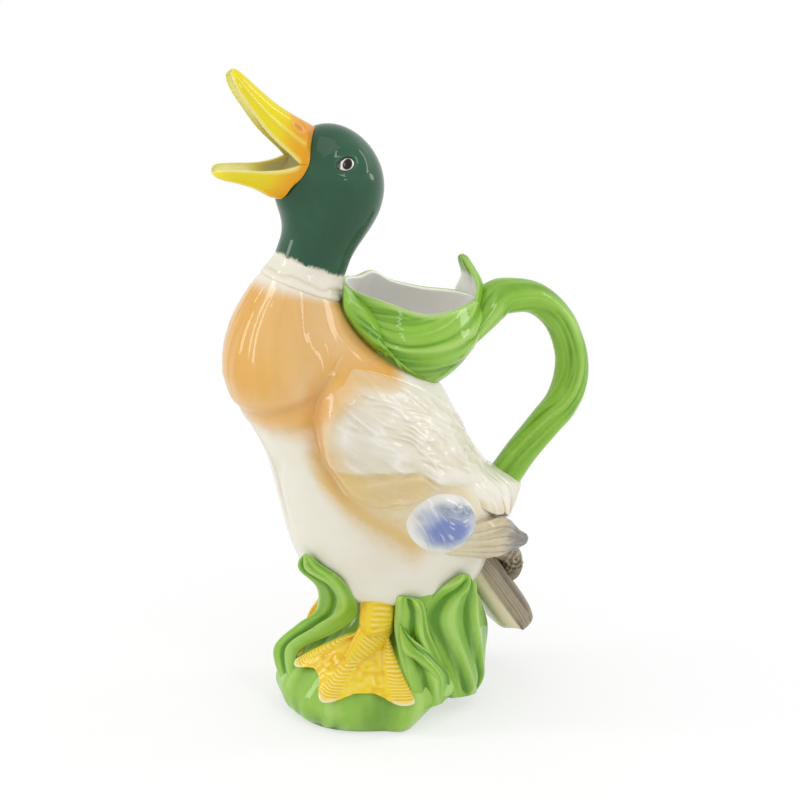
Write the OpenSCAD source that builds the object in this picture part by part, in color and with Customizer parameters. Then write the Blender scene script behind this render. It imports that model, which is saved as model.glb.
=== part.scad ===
// Duck carafe: a hollow glazed duck standing on a grassy mound, its open bill the spout,
// a leaf-shaped filler cup on its back and a stem handle from the cup to the rump.
// Millimetres. Z is up, the bill points to -X and the left side of the duck is -Y.

/* [Body] */
// Height of the belly floor above the table
belly_z = 62; // [58:1:68]
// Height of the body casting, belly floor to neck seam
body_h = 151.5; // [144:0.5:160]
// Greatest length of the body casting
body_len = 110; // [104:1:118]
// Greatest width of the body casting
body_w = 102; // [96:1:108]
// How far the breast leans forward of the belly
lean = 46; // [42:1:50]
// Wall of the hollow castings
wall = 5; // [4:0.5:6]

/* [Neck and head] */
// Tilt of the neck towards the tail, degrees
neck_tilt = 22; // [19:1:25]
// Outer diameter of the collar where it meets the body
collar_d = 40; // [38:0.5:43]
// Height of the collar along the neck
collar_h = 11; // [9:0.5:13]
// Outer diameter of the neck where it leaves the collar
neck_d = 34; // [32:0.5:36]
// Bore of the neck
neck_bore = 24; // [22:0.5:25]
// Length of the head casting along the neck, collar to crown
head_h = 65; // [62:0.5:69]
// Length of the head
head_len = 49; // [46:0.5:52]
// Width of the head
head_w = 45.5; // [43:0.5:48]
// How far the crown sits forward of the neck line
crown_lead = 8; // [6:0.5:10]

/* [Bill] */
// Length of the raised upper bill
upper_bill_len = 55; // [51:1:59]
// Climb of the upper bill, degrees
upper_bill_pitch = 45; // [42:1:48]
// Length of the lower bill
lower_bill_len = 47; // [43:1:50]
// Width of both bills at mid length
bill_w = 20; // [18:0.5:22]
// Wall of the bill scoops
bill_wall = 3; // [2.5:0.25:3.5]

/* [Leaf cup and handle] */
// Height of the cup rim above the table
rim_z = 200; // [197:1:204]
// Length of the cup mouth
cup_len = 66; // [62:1:70]
// Width of the cup mouth
cup_w = 55; // [51:1:59]
// Wall of the cup
cup_wall = 3.5; // [3:0.25:4.5]
// Height of the curled leaf tip above the rim
tip_h = 19; // [15:1:23]
// Reach of the handle behind the cup
handle_reach = 52.5; // [48:0.5:57]
// Thickness of the handle stem
stem_d = 17.5; // [16:0.5:19]

/* [Mound and feet] */
// Greatest length of the mound
base_len = 101; // [96:1:106]
// Greatest width of the mound
base_w = 92; // [86:1:98]
// Thickness of a webbed foot
web_t = 4; // [3:0.25:5]
// Thickness of a leg
leg_d = 19; // [17:0.5:21]
// Thickness of a grass blade
blade_t = 6.5; // [5.5:0.25:7.5]

/* [Feathers] */
// Rise of a wing above the body
wing_t = 6.5; // [5:0.5:8]
// Rise of a wing patch above the body
speculum_t = 9; // [7:0.5:10]
// Width of the tail fan
tail_w = 40; // [36:1:44]
// Drop of the tail fan below its root
tail_drop = 46; // [42:1:49]
// Diameter of an eye
eye_d = 10; // [8.5:0.5:11]

/* [Hidden] */
// Clearance left for the slip that bonds one piece on another
slip = 0.1;
// Thickness left at the edge of an applied piece
edge_t = 1.2;
cream = "#E6DFCD";
head_green = "#2F5D45";
bill_orange = "#E8A32B";
leaf_green = "#7DB23F";
foot_yellow = "#F0C326";
rust = "#DCA668";
violet = "#6F7FC4";
taupe = "#7A6E66";

// Body rows: share of height, share of lean, share of neck tilt, half length, half width
body_rows = [
    [0.000, 0.00, 0, 0.180, 0.196], [0.0165, 0.00, 0, 0.280, 0.294],
    [0.053, 0.00, 0, 0.360, 0.363], [0.106, 0.00, 0, 0.418, 0.407],
    [0.178, 0.00, 0, 0.470, 0.451], [0.317, 0.080, 0, 0.488, 0.490],
    [0.455, 0.285, 0, 0.452, 0.500], [0.561, 0.460, 0, 0.450, 0.500],
    [0.660, 0.640, 0, 0.448, 0.480], [0.759, 0.820, 0.1, 0.410, 0.441],
    [0.845, 0.960, 0.36, 0.328, 0.368], [0.927, 1.02, 0.66, 0.245, 0.275],
    [1.000, 1.00, 1, collar_d / 2 / body_len, collar_d / 2 / body_w]];
body_form = [for (r = body_rows) [-lean * r[1], belly_z + body_h * r[0],
    neck_tilt * r[2], body_len * r[3], body_w * r[4]]];
body_top = len(body_form) - 1;

// Mound rows: share of belly height, half length share, half width share
mound_rows = [[0, 0.43, 0.435], [0.08, 0.485, 0.48], [0.2, 0.51, 0.50], [0.36, 0.475, 0.457],
    [0.52, 0.40, 0.38], [0.68, 0.315, 0.295], [0.84, 0.24, 0.23], [1, 0.172, 0.19]];
mound_top = len(mound_rows) - 1;
mound_x = -9;
mound_taper = 0.55;
mound_ripple = 0.02;
// Depth of casting that is ground off to make the flat sole
sole_cut = 2;

// Seam between body and collar, and between collar and head
neck_dir = [sin(neck_tilt), 0, cos(neck_tilt)];
neck_out = [cos(neck_tilt), 0, -sin(neck_tilt)];
collar_seat = [-lean, 0, belly_z + body_h];
neck_seat = collar_seat + collar_h * neck_dir;
head_mid = head_h * 0.615;

// Small vector helpers
function unit(v) = v / norm(v);
function xyz(q) = [q[0], q[1], q[2]];
function mix(a, b, t) = a + (b - a) * t;
function clamp(v, lo, hi) = max(lo, min(hi, v));
function ease(t) = let (c = clamp(t, 0, 1)) c * c * (3 - 2 * c);
function total(pts, i = 0) = i == len(pts) ? [0, 0, 0] : pts[i] + total(pts, i + 1);
function mean(pts) = total(pts) / len(pts);

// Smooth curve through rows of numbers, open or closed
function curve4(a, b, c, d, t) = 0.5 * (2 * b + (c - a) * t + (2 * a - 5 * b + 4 * c - d) * t * t
    + (3 * b - a - 3 * c + d) * t * t * t);
function row(rows, i) = rows[clamp(i, 0, len(rows) - 1)];
function along(rows, s) = let (i = clamp(floor(s), 0, len(rows) - 2), t = s - i)
    curve4(row(rows, i - 1), row(rows, i), row(rows, i + 1), row(rows, i + 2), t);
function around(rows, s) = let (n = len(rows), i = floor(s), t = s - i)
    curve4(rows[(i + n - 1) % n], rows[i % n], rows[(i + 1) % n], rows[(i + 2) % n], t);

// Point on the body at row s and angle phi from the breast, raised by off; +phi turns to the left side
function body_pt(s, phi, off = 0) = let (q = along(body_form, s))
    [q[0], 0, q[1]] - (q[3] + off) * cos(phi) * [cos(q[2]), 0, -sin(q[2])]
    - [0, (q[4] + off) * sin(phi), 0];
function body_ring(s, off, n) = [for (j = [0:n - 1]) body_pt(s, 180 + 360 * j / n, off)];

// The footprint narrows towards the tail, less so higher up
function mound_waist(h, a) = 1 - mound_taper * (1 - 0.75 * ease(h / 0.3)) * ease((cos(a) + 0.1) / 0.6);

// Point on the mound at row s and turn a, raised by off
function mound_pt(s, a, off = 0) = let (q = along(mound_rows, s))
    let (ripple = 1 + mound_ripple * cos(5 * a))
    [mound_x * (1 - q[0]) + (base_len * q[1] * ripple + off) * cos(a),
     (base_w * q[2] * ripple * mound_waist(q[0], a) + off) * sin(a), belly_z * q[0]];

// Outer radius shares of the head casting at height s above the neck seam
function head_grow(s) = s < head_mid ? ease((s - 0.09 * head_h) / (0.5 * head_h))
    : sqrt(max(0, 1 - pow((s - head_mid) / (head_h - head_mid), 2)));
function head_half(s, full) = s < head_mid ? mix(neck_d / 2, full / 2, head_grow(s))
    : full / 2 * head_grow(s);
function head_mid_pt(s) = neck_seat + s * neck_dir - crown_lead * pow(s / head_h, 2) * neck_out;
function head_pt(s, phi, off = 0) = head_mid_pt(s)
    - (head_half(s, head_len) + off) * cos(phi) * neck_out
    - [0, (head_half(s, head_w) + off) * sin(phi), 0];

// Closed skin over rings of equal count; each end closes on its centre
module loft(rings) {
    n = len(rings[0]);
    m = len(rings);
    pts = concat([for (r = rings) each r], [mean(rings[0]), mean(rings[m - 1])]);
    sides = [for (i = [0:m - 2], j = [0:n - 1])
        let (a = i * n + j, b = i * n + (j + 1) % n) each [[a, a + n, b + n], [a, b + n, b]]];
    caps = [for (j = [0:n - 1]) each [[m * n, j, (j + 1) % n],
        [m * n + 1, (m - 1) * n + (j + 1) % n, (m - 1) * n + j]]];
    polyhedron(points = pts, faces = concat(sides, caps), convexity = 8);
}

// Closed band: rings joined end to start, as a hollow ring has no ends
module band(rings) {
    n = len(rings[0]);
    m = len(rings);
    polyhedron(points = [for (r = rings) each r], faces = [for (i = [0:m - 1], j = [0:n - 1])
        let (a = i * n + j, b = i * n + (j + 1) % n, c = ((i + 1) % m) * n + j,
            d = ((i + 1) % m) * n + (j + 1) % n) each [[a, c, d], [a, d, b]]], convexity = 8);
}

// Rings of a stem, blade or bill: rows are x, y, z, half width, half depth
function sweep(rows, side, m, n) = let (k = len(rows) - 1) [for (i = [0:m])
    let (s = k * i / m, q = along(rows, s), d = unit(xyz(along(rows, min(k, s + 0.05)))
        - xyz(along(rows, max(0, s - 0.05)))), w = unit(side - (side * d) * d), u = cross(d, w))
    [for (j = [0:n - 1]) xyz(q) + w * q[3] * cos(360 * j / n) + u * q[4] * sin(360 * j / n)]];

// Applied pad on the body: outline and middle in rows and degrees, rise and steepness of the edge
function pad_ring(outline, mid, r, off, n) = [for (j = [0:n - 1])
    let (p = mix(mid, around(outline, len(outline) * j / n), r)) body_pt(p[0], p[1], off)];
module pad(outline, mid, rise, steep, n) resize([0, 0, 0]) difference() {
    loft(concat([for (r = [0.3, 1]) pad_ring(outline, mid, r, -wall / 2, n)],
        [for (r = [1, 0.9, 0.72, 0.48, 0.2])
            pad_ring(outline, mid, r, edge_t + (rise - edge_t) * (1 - pow(r, steep)), n)]));
    body_solid(slip);
}

// Body solid raised by off
body_steps = 22;
body_sides = 36;
module body_solid(off) loft([for (i = [0:body_steps]) body_ring(body_top * i / body_steps, off, body_sides)]);

// Cup rim and foot as closed curves; turn 0 is the tail end, 180 the neck
cup_x = -lean * 0.5 + cup_len * 0.47;
cup_foot_s = 9.65;
cup_foot_half_s = 1.65;
cup_foot_half_phi = 50;
cup_belly = 8;
// Rise of the rim at the neck and at the tail, its roll to one side and its twist
rim_neck_rise = 9;
rim_tail_rise = 3;
rim_roll = 3;
rim_twist = 4;
function foot_row(a, inset) = cup_foot_s - (cup_foot_half_s - inset / 12) * cos(a);
function foot_phi(a, inset) = 180 + (cup_foot_half_phi - inset * 1.6) * sin(a);
function cup_foot(a, inset) = body_pt(foot_row(a, inset), foot_phi(a, inset), slip);
function cup_rim(a, inset) = [cup_x + (cup_len / 2 - inset) * cos(a),
    (cup_w / 2 - inset) * sin(a) * (1 - 0.2 * cos(a)),
    rim_z + rim_neck_rise * pow(max(0, -cos(a)), 2) + rim_tail_rise * pow(max(0, cos(a)), 3)
        + rim_roll * sin(a) - rim_twist * sin(a) * cos(a)];
function cup_pt(a, t, inset) = mix(cup_foot(a, inset), cup_rim(a, inset), t)
    + cup_belly * sin(180 * t) * [max(0, cos(a)), 0.6 * sin(a), -0.25];
cup_n = 36;
function cup_ring(t, inset) = [for (j = [0:cup_n - 1]) cup_pt(360 * j / cup_n, t, inset)];

module body_shell() color(cream) resize([0, 0, 0]) difference() {
    body_solid(0);
    loft(concat([for (i = [0:15]) body_ring(mix(0.9, body_top - 0.25, i / 15), -wall, 28)],
        [[for (j = [0:27]) collar_seat + neck_bore / 2 * (cos(360 * j / 28) * neck_out
            + sin(360 * j / 28) * [0, 1, 0]) + neck_dir * 2]]));
    cup_way();
}

// Filler hole through the body wall, under the cup; the cutter leans out along the back
hole_in = wall + 8;
hole_out = 5;
hole_lean = [8, 0, 25];
module cup_way() {
    hole = [for (o = [-hole_in, hole_out]) [for (j = [0:cup_n - 1]) let (a = 360 * j / cup_n)
        body_pt(foot_row(a, cup_wall), foot_phi(a, cup_wall), o)]];
    loft(concat(hole, [[for (p = hole[1]) p + hole_lean]]));
}

module neck_collar() color(cream) translate(collar_seat) rotate([0, neck_tilt, 0])
    rotate_extrude($fn = 48) polygon([[neck_bore / 2, slip], [collar_d / 2, slip],
        [collar_d / 2 + edge_t, collar_h * 0.12], [collar_d / 2 + edge_t * 0.6, collar_h * 0.28],
        [mix(collar_d, neck_d, 0.62) / 2, collar_h * 0.6], [neck_d / 2, collar_h - slip],
        [neck_bore / 2, collar_h - slip]]);

head_steps = [0, 0.1, 0.2, 0.3, 0.4, 0.5, 0.615, 0.7, 0.79, 0.87, 0.93, 0.97, 0.994];
module head_solid(off, first) {
    loft([for (s = head_steps) if (s >= first) [for (j = [0:31])
        head_pt(s * (head_h + off), 180 + 360 * j / 32, off)]]);
}

// The head is cut open at the face for the bills, down to a jaw line that falls towards the throat
mouth_in = head_mid_pt(head_mid);
face_x = mouth_in[0] - head_len * 0.2;
jaw_z = mouth_in[2];
jaw_slope = 0.32;
module face_cut() translate([face_x, 0, jaw_z]) rotate([90, 0, 0])
    linear_extrude(height = head_w * 2, center = true)
        polygon([[0, 0], [0, head_len], [-head_len, head_len], [-head_len, -head_len * jaw_slope]]);
module head_left(off) difference() {
    head_solid(off, 0.1);
    face_cut();
}

// Way through the mouth, from inside the head out between the bills
module mouth_way() loft(sweep([concat(mouth_in + [0, 0, 6], [bill_w * 0.5, bill_w * 0.3]),
    concat([face_x - 6, 0, jaw_z + 11], [bill_w * 0.5, bill_w * 0.25]),
    concat([face_x - 16, 0, jaw_z + 13], [bill_w * 0.42, bill_w * 0.2])], [0, 1, 0], 6, 20));

module head_shell() color(head_green) resize([0, 0, 0]) difference() {
    head_solid(0, 0);
    face_cut();
    loft(concat([[for (j = [0:23]) neck_seat - neck_dir + neck_bore / 2 * (cos(360 * j / 24)
        * neck_out + sin(360 * j / 24) * [0, 1, 0])]], [for (s = head_steps) if (s > 0.15 && s < 0.96)
        [for (j = [0:23]) head_pt(s * (head_h - wall), 180 + 360 * j / 24, -wall)]]));
}

// Upper bill rows in shares of its length, rise off the line, half width, half depth
upper_root = [face_x, 0, jaw_z + head_len * 0.28];
upper_dir = [-cos(upper_bill_pitch), 0, sin(upper_bill_pitch)];
upper_up = [sin(upper_bill_pitch), 0, cos(upper_bill_pitch)];
function upper_rows(grow) = [for (r = [[0, 0.00, 0.88, 0.64], [0.18, 0.015, 0.72, 0.49],
    [0.42, 0.00, 0.54, 0.34], [0.66, -0.005, 0.48, 0.26], [0.85, 0.01, 0.45, 0.21],
    [0.95, 0.025, 0.34, 0.15], [1, 0.035, 0.18, 0.08]])
    concat(upper_root + upper_dir * upper_bill_len * r[0] + upper_up * upper_bill_len * r[1],
        [bill_w * r[2] + grow, bill_w * r[3] + grow])];
module upper_bill() color(bill_orange) resize([0, 0, 0]) difference() {
    loft(sweep(upper_rows(0), [0, 1, 0], 14, 24));
    translate(-upper_up * bill_w * 0.34) loft(sweep(upper_rows(-bill_wall * 0.6), [0, 1, 0], 10, 18));
    head_left(slip);
    mouth_way();
}

lower_root = [face_x, 0, jaw_z + 1];
function lower_rows(grow) = [for (r = [[0, 0, 0.88, 0.30], [0.2, -0.01, 0.76, 0.36],
    [0.38, 0, 0.62, 0.36], [0.56, 0.045, 0.52, 0.26], [0.78, 0.11, 0.475, 0.17], [0.94, 0.14, 0.36, 0.115],
    [1, 0.15, 0.2, 0.07]])
    concat(lower_root + [-lower_bill_len * r[0], 0, lower_bill_len * r[1]],
        [bill_w * r[2] + grow, bill_w * r[3] + grow])];
module lower_bill() color(bill_orange) resize([0, 0, 0]) difference() {
    loft(sweep(lower_rows(0), [0, 1, 0], 12, 24));
    translate([0, 0, bill_w * 0.3]) loft(sweep(lower_rows(-bill_wall * 0.6), [0, 1, 0], 10, 18));
    head_left(slip);
    upper_cut();
    mouth_way();
}
module upper_cut() loft(sweep(upper_rows(slip), [0, 1, 0], 10, 20));

module eye() color("#2A211C") resize([0, 0, 0]) difference() {
    translate(head_pt(head_h * 0.735, 74, -eye_d * 0.2)) sphere(d = eye_d, $fn = 20);
    head_solid(slip, 0.3);
}
module left_eye() eye();
module right_eye() mirror([0, 1, 0]) eye();

// Wing outline in body rows and degrees from the breast
wing_outline = [[9.75, 99], [8.8, 74], [7.86, 60], [6.8, 50], [5.8, 57], [5.42, 71], [5.72, 84],
    [5.8, 104], [5.5, 122], [5.2, 140], [5.35, 156], [6.3, 164], [7.4, 158], [8.3, 140], [9.2, 120]];
module left_wing() color(cream) pad(wing_outline, [7.2, 95], wing_t, 3.2, 42);
module right_wing() mirror([0, 1, 0]) left_wing();

speculum_outline = [[4.6, 80], [4.2, 89], [4.05, 104], [4.3, 118], [4.75, 123], [5.3, 117],
    [5.58, 104], [5.5, 91], [5.03, 80]];
module left_speculum() color(violet) pad(speculum_outline, [4.85, 101], speculum_t, 2.6, 26);
module right_speculum() mirror([0, 1, 0]) left_speculum();

tail_x = body_len * 0.45;
function primary_rows(grow) = [concat(body_pt(4.5, 126, 1), [8 + grow, 4 + grow]),
    concat(body_pt(4.2, 138, 3), [10 + grow, 5 + grow]), concat(body_pt(4, 153, 7), [9 + grow, 5 + grow]),
    [tail_x + 7, -13, belly_z + 18, 7 + grow, 4.5 + grow],
    [tail_x + 16, -8, belly_z + 11, 3 + grow, 2.5 + grow]];
module primaries_form(grow) loft(sweep(primary_rows(grow), [0, 0, 1], 10, 14));
module left_primaries() color(taupe) resize([0, 0, 0]) difference() {
    primaries_form(0);
    body_solid(slip);
    left_speculum();
}
module right_primaries() mirror([0, 1, 0]) left_primaries();

module rump_form(grow) loft(sweep([[tail_x - 18, 0, belly_z + 47, 20 + grow, 11 + grow],
    [tail_x - 3, 0, belly_z + 46, 20 + grow, 11 + grow], [tail_x + 5, 0, belly_z + 40, 18 + grow, 9 + grow],
    [tail_x + 11, 0, belly_z + 30, 14 + grow, 6 + grow], [tail_x + 13, 0, belly_z + 24, 8 + grow, 3 + grow]],
    [0, 1, 0], 10, 20));
module rump_coverts() color(cream) resize([0, 0, 0]) difference() {
    rump_form(0);
    body_solid(slip);
}

tail_root = body_pt(2.2, 180, -5);
module tail_form(grow) loft(sweep([for (r = [[0, 0, 0.45, 0.23], [0.3, 0.2, 0.48, 0.24],
    [0.65, 0.42, 0.46, 0.22], [0.9, 0.56, 0.36, 0.15], [1, 0.61, 0.2, 0.07]])
    concat(tail_root + [tail_drop * r[1], 0, -tail_drop * r[0]], [tail_w * r[2] + grow, tail_w * r[3] + grow])],
    [0, 1, 0], 9, 20));
module tail_fan() color(taupe) resize([0, 0, 0]) difference() {
    tail_form(0);
    body_solid(slip);
}

module tail_curl() color(taupe) resize([0, 0, 0]) difference() {
    loft(sweep([[tail_x - 12, 0, belly_z + 12, 13, 6], [tail_x + 4, 0, belly_z + 8, 14, 6],
        [tail_x + 14, 0, belly_z + 2, 13, 5.5], [tail_x + 14, 0, belly_z - 6, 11, 5],
        [tail_x + 7, 0, belly_z - 8, 7, 4]], [0, 1, 0], 12, 16));
    body_solid(slip);
    tail_form(slip);
    primaries_form(slip);
    mirror([0, 1, 0]) primaries_form(slip);
}

mound_n = 36;
function mound_ring(s, off) = [for (j = [0:mound_n - 1]) mound_pt(s, 360 * j / mound_n, off)];
module grass_mound() color(leaf_green) difference() {
    loft(concat([[for (p = mound_ring(0, 0)) p - [0, 0, sole_cut]]],
        [for (s = [0.5, 1, 1.6, 2.3, 3, 4, 5, 6]) mound_ring(s, 0)],
        [[for (p = mound_ring(mound_top, 0)) p - [0, 0, slip]]]));
    translate([-base_len, -base_w, -2 * sole_cut]) cube([2 * base_len, 2 * base_w, 2 * sole_cut]);
}

// Webbed foot draped on the mound: t runs from ankle to toes, v across the three toes
ankle_s = 4.9;
function toe_bump(v) = pow(cos(360 * v), 4);
function foot_pt(t, v, off) = let (reach = 1 - 0.2 * (1 - toe_bump(v)),
    tip_s = v < 0.5 ? mix(3.1, 2.15, v * 2) : mix(2.15, 2.2, v * 2 - 1),
    tip_a = v < 0.5 ? mix(190, 222, v * 2) : mix(222, 262, v * 2 - 1))
    mound_pt(mix(ankle_s, tip_s, t * reach), mix(mix(228, 258, v), tip_a, t * reach), off);
module web() {
    nt = 7;
    nv = 16;
    top = [for (i = [0:nt], j = [0:nv]) let (t = i / nt, v = j / nv)
        foot_pt(t, v, web_t + 3 * toe_bump(v) * (1 - 0.5 * t))];
    low = [for (i = [0:nt], j = [0:nv]) foot_pt(i / nt, j / nv, slip)];
    k = nv + 1;
    o = len(top);
    skin = [for (i = [0:nt - 1], j = [0:nv - 1]) let (a = i * k + j)
        each [[a, a + 1, a + k + 1], [a, a + k + 1, a + k],
            [o + a, o + a + k + 1, o + a + 1], [o + a, o + a + k, o + a + k + 1]]];
    sides = [for (i = [0:nt - 1]) let (a = i * k, b = i * k + nv)
        each [[a, a + k, o + a + k], [a, o + a + k, o + a], [b, o + b + k, b + k], [b, o + b, o + b + k]]];
    ends = [for (j = [0:nv - 1]) let (a = j, b = nt * k + j)
        each [[a, o + a + 1, a + 1], [a, o + a, o + a + 1], [b, b + 1, o + b + 1], [b, o + b + 1, o + b]]];
    polyhedron(points = concat(top, low), faces = concat(skin, sides, ends), convexity = 6);
}
leg_foot = foot_pt(0.12, 0.5, 3);
leg_top = [leg_foot[0] + 3, leg_foot[1] - 1, belly_z + 8];
module left_foot() color(foot_yellow) resize([0, 0, 0]) difference() {
    union() {
        web();
        loft(sweep([concat(leg_foot, [leg_d * 0.5, leg_d * 0.46]),
            concat(mix(leg_foot, leg_top, 0.5), [leg_d * 0.46, leg_d * 0.44]),
            concat(leg_top, [leg_d * 0.54, leg_d * 0.54])], [1, 0, 0], 6, 16));
    }
    body_solid(slip);
    mound_solid(slip);
}
module right_foot() mirror([0, 1, 0]) left_foot();

// Grass blade, trimmed to the body, the mound and a blade it lies on
module mound_solid(off) loft([for (s = [0:0.5:mound_top]) mound_ring(s, off)]);
module blade(rows, side, under = []) color(leaf_green) resize([0, 0, 0]) difference() {
    loft(sweep(rows, side, 9, 10));
    body_solid(slip);
    mound_solid(slip);
    if (len(under) > 0)
        loft(sweep([for (r = under) concat(xyz(r), [r[3] + slip, r[4] + slip])], side, 9, 10));
}
half_t = blade_t / 2;
front_rows = [concat(mound_pt(2.6, 184, half_t), [7, half_t]),
    concat(mound_pt(3.9, 190, half_t), [9, half_t]), concat(mound_pt(5.2, 200, half_t + 1), [9.5, half_t]),
    concat(mound_pt(6.3, 205, half_t + 3), [8.5, half_t]), concat(body_pt(1.8, 16, half_t), [6.5, half_t]),
    concat(body_pt(2.9, 13, half_t + 1), [4, half_t * 0.8]), concat(body_pt(3.6, 12, half_t + 2), [1.2, 1])];
function rear_rows(root_s, root_a, w, tip_s, tip_phi, bow) = let (
    tip = body_pt(tip_s, tip_phi, half_t)) [
    concat(mound_pt(root_s, root_a, half_t), [w, half_t]),
    concat(mound_pt(root_s + 1.9, root_a, half_t), [w * 1.12, half_t]),
    concat(mix(mound_pt(root_s + 3.2, root_a, half_t), tip, 0.4) - [0, bow, 0], [w, half_t]),
    concat(mix(mound_pt(root_s + 4, root_a, half_t), tip, 0.75) - [0, bow, 0], [w * 0.62, half_t * 0.9]),
    concat(tip, [1.5, 1.2])];
tall_rows = rear_rows(1, 314, 10.5, 2.3, 127, 3);
side_rows = rear_rows(0.8, 293, 9.5, 1.4, 78, 3);
low_rows = [concat(mound_pt(0.9, 284, half_t), [6, half_t]), concat(mound_pt(2.3, 281, half_t + 1), [7, half_t]),
    concat(mound_pt(3.6, 276, half_t + 2), [5, half_t]), concat(mound_pt(4.8, 268, half_t + 3), [1.5, 1.2])];
module front_blade() blade(front_rows, [0, 1, 0]);
module left_tall_blade() blade(tall_rows, [1, 0, 0]);
module right_tall_blade() mirror([0, 1, 0]) left_tall_blade();
module left_side_blade() blade(side_rows, [1, 0, 0], tall_rows);
module right_side_blade() mirror([0, 1, 0]) left_side_blade();
module left_low_blade() blade(low_rows, [1, 0, 0], side_rows);
module right_low_blade() mirror([0, 1, 0]) left_low_blade();

// Leaf cup
module leaf_cup() color(leaf_green) band(concat([for (t = [0, 0.2, 0.45, 0.7, 0.9, 1]) cup_ring(t, 0)],
    [for (t = [1, 0.85, 0.55, 0.25, 0]) cup_ring(t, cup_wall)]));
module cup_solid() loft(concat([[for (p = cup_ring(0, -slip)) p - [0, 0, 12]]],
    [for (t = [0, 0.2, 0.45, 0.7, 0.9, 1]) cup_ring(t, -slip)]));

tip_root = cup_rim(0, cup_wall * 0.5);
module leaf_tip() color(leaf_green) loft(sweep([concat(tip_root + [0, 0, slip], [9, 1.7]),
    concat(tip_root + [3, 0, tip_h * 0.4], [8, 2.2]), concat(tip_root + [0, 0, tip_h * 0.75], [5, 2]),
    concat(tip_root + [-5, 0, tip_h], [1.2, 1])], [0, 1, 0], 8, 14));

// Folded lobe of the leaf beside the neck
module left_lobe() color(leaf_green) resize([0, 0, 0]) difference() {
    loft(sweep([concat(body_pt(9.5, 130, 2), [4, 2.5]), concat(body_pt(10.2, 123, 3), [9, 3.5]),
        concat(body_pt(11.1, 117, 5), [9, 3.5]), concat(collar_seat + [12, -collar_d * 0.55, 6], [2.5, 2])],
        [1, 0, 0], 8, 12));
    cup_solid();
    body_solid(slip);
    neck_cut();
}
module neck_cut() translate(collar_seat) rotate([0, neck_tilt, 0])
    cylinder(h = 30, d = collar_d + 2 * edge_t + slip, $fn = 32);
module right_lobe() mirror([0, 1, 0]) left_lobe();

// Handle stem from the cup down to the rump
handle_root = cup_rim(0, 0) - [0, 0, 12];
handle_end = [tail_x + 9, 0, belly_z + 40];
handle_low = handle_root + [handle_reach * 0.914, 0, -49];
function stem(p, w, d) = concat(p, [stem_d * w, stem_d * d]);
module handle() color(leaf_green) resize([0, 0, 0]) difference() {
    loft(sweep([stem(handle_root + [-9, 0, -5], 0.7, 0.63), stem(handle_root + [5, 0, 2], 0.64, 0.6),
        stem(handle_root + [16, 0, 6], 0.56, 0.57), stem(handle_root + [handle_reach * 0.61, 0, 3], 0.5, 0.44),
        stem(handle_root + [handle_reach * 0.83, 0, -7], 0.5, 0.43),
        stem(handle_root + [handle_reach * 0.983, 0, -24], 0.5, 0.46),
        stem(handle_root + [handle_reach, 0, -37.5], 0.52, 0.5), stem(handle_low, 0.5, 0.49),
        stem(mix(handle_low, handle_end, 0.42), 0.48, 0.47), stem(handle_end, 0.5, 0.5)], [0, 1, 0], 26, 16));
    cup_solid();
    rump_form(slip);
    body_solid(slip);
}

body_shell();
neck_collar();
head_shell();
upper_bill();
lower_bill();
left_eye();
right_eye();
left_wing();
right_wing();
left_speculum();
right_speculum();
left_primaries();
right_primaries();
rump_coverts();
tail_fan();
tail_curl();
grass_mound();
left_foot();
right_foot();
front_blade();
left_tall_blade();
right_tall_blade();
left_side_blade();
right_side_blade();
left_low_blade();
right_low_blade();
leaf_cup();
leaf_tip();
left_lobe();
right_lobe();
handle();
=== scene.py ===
"""Glazed duck carafe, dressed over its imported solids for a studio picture.

Sizes are millimetres in the part's own frame: Z is up, the bill points to -X and the left side of the
duck is -Y. They turn into metres where a mesh is made. Angles are degrees unless a name says otherwise.
"""

import logging
import math
from collections.abc import Callable, Sequence
from dataclasses import dataclass, field
from enum import Enum
from functools import cached_property

import bpy
import numpy as np
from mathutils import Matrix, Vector


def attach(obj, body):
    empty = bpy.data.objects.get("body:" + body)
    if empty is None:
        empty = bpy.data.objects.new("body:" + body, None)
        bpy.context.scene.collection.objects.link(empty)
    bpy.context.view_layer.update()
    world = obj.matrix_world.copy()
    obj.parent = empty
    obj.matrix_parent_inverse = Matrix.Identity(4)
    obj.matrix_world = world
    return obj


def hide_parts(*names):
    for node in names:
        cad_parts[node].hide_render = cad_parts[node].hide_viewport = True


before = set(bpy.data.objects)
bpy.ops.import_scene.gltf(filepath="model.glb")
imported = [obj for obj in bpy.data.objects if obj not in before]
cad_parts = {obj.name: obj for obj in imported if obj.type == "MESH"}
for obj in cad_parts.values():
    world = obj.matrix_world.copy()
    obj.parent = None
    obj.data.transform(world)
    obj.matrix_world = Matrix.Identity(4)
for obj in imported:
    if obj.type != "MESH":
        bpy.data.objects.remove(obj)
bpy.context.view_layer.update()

LOG = logging.getLogger("duck_carafe")
Array = np.ndarray
Number = Array | float
Rows = tuple[tuple[float, ...], ...]
Socket = bpy.types.NodeSocket
Masks = dict[str, Array]
Dresser = Callable[[Array, Array, Array], tuple[Array, Masks]]
MM = 0.001
TINY = 1e-9
BODY = "root"

# How noise scatters its cells: the step between seeds, the weights of a cell's numbers and their spread
SEED_STEP = 37.7
CELL_WEIGHTS = np.array([12.9898, 78.233, 37.719])
CELL_SPREAD = 43758.5453


class Slot(Enum):
    """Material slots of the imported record."""

    CREAM = "cream_glaze"
    HEAD = "green_head_glaze"
    BILL = "orange_bill_glaze"
    EYE = "dark_eye_glaze"
    VIOLET = "violet_glaze"
    TAUPE = "taupe_glaze"
    LEAF = "leaf_glaze"
    FOOT = "yellow_foot_glaze"


class Side(Enum):
    """Sides of the duck, with the sign that a left-hand skin's Y takes."""

    LEFT = 1.0
    RIGHT = -1.0

    def named(self, name: str) -> str:
        """A name with this side before it."""
        return f"{self.name.lower()}_{name}"


# Curves and noise


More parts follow.
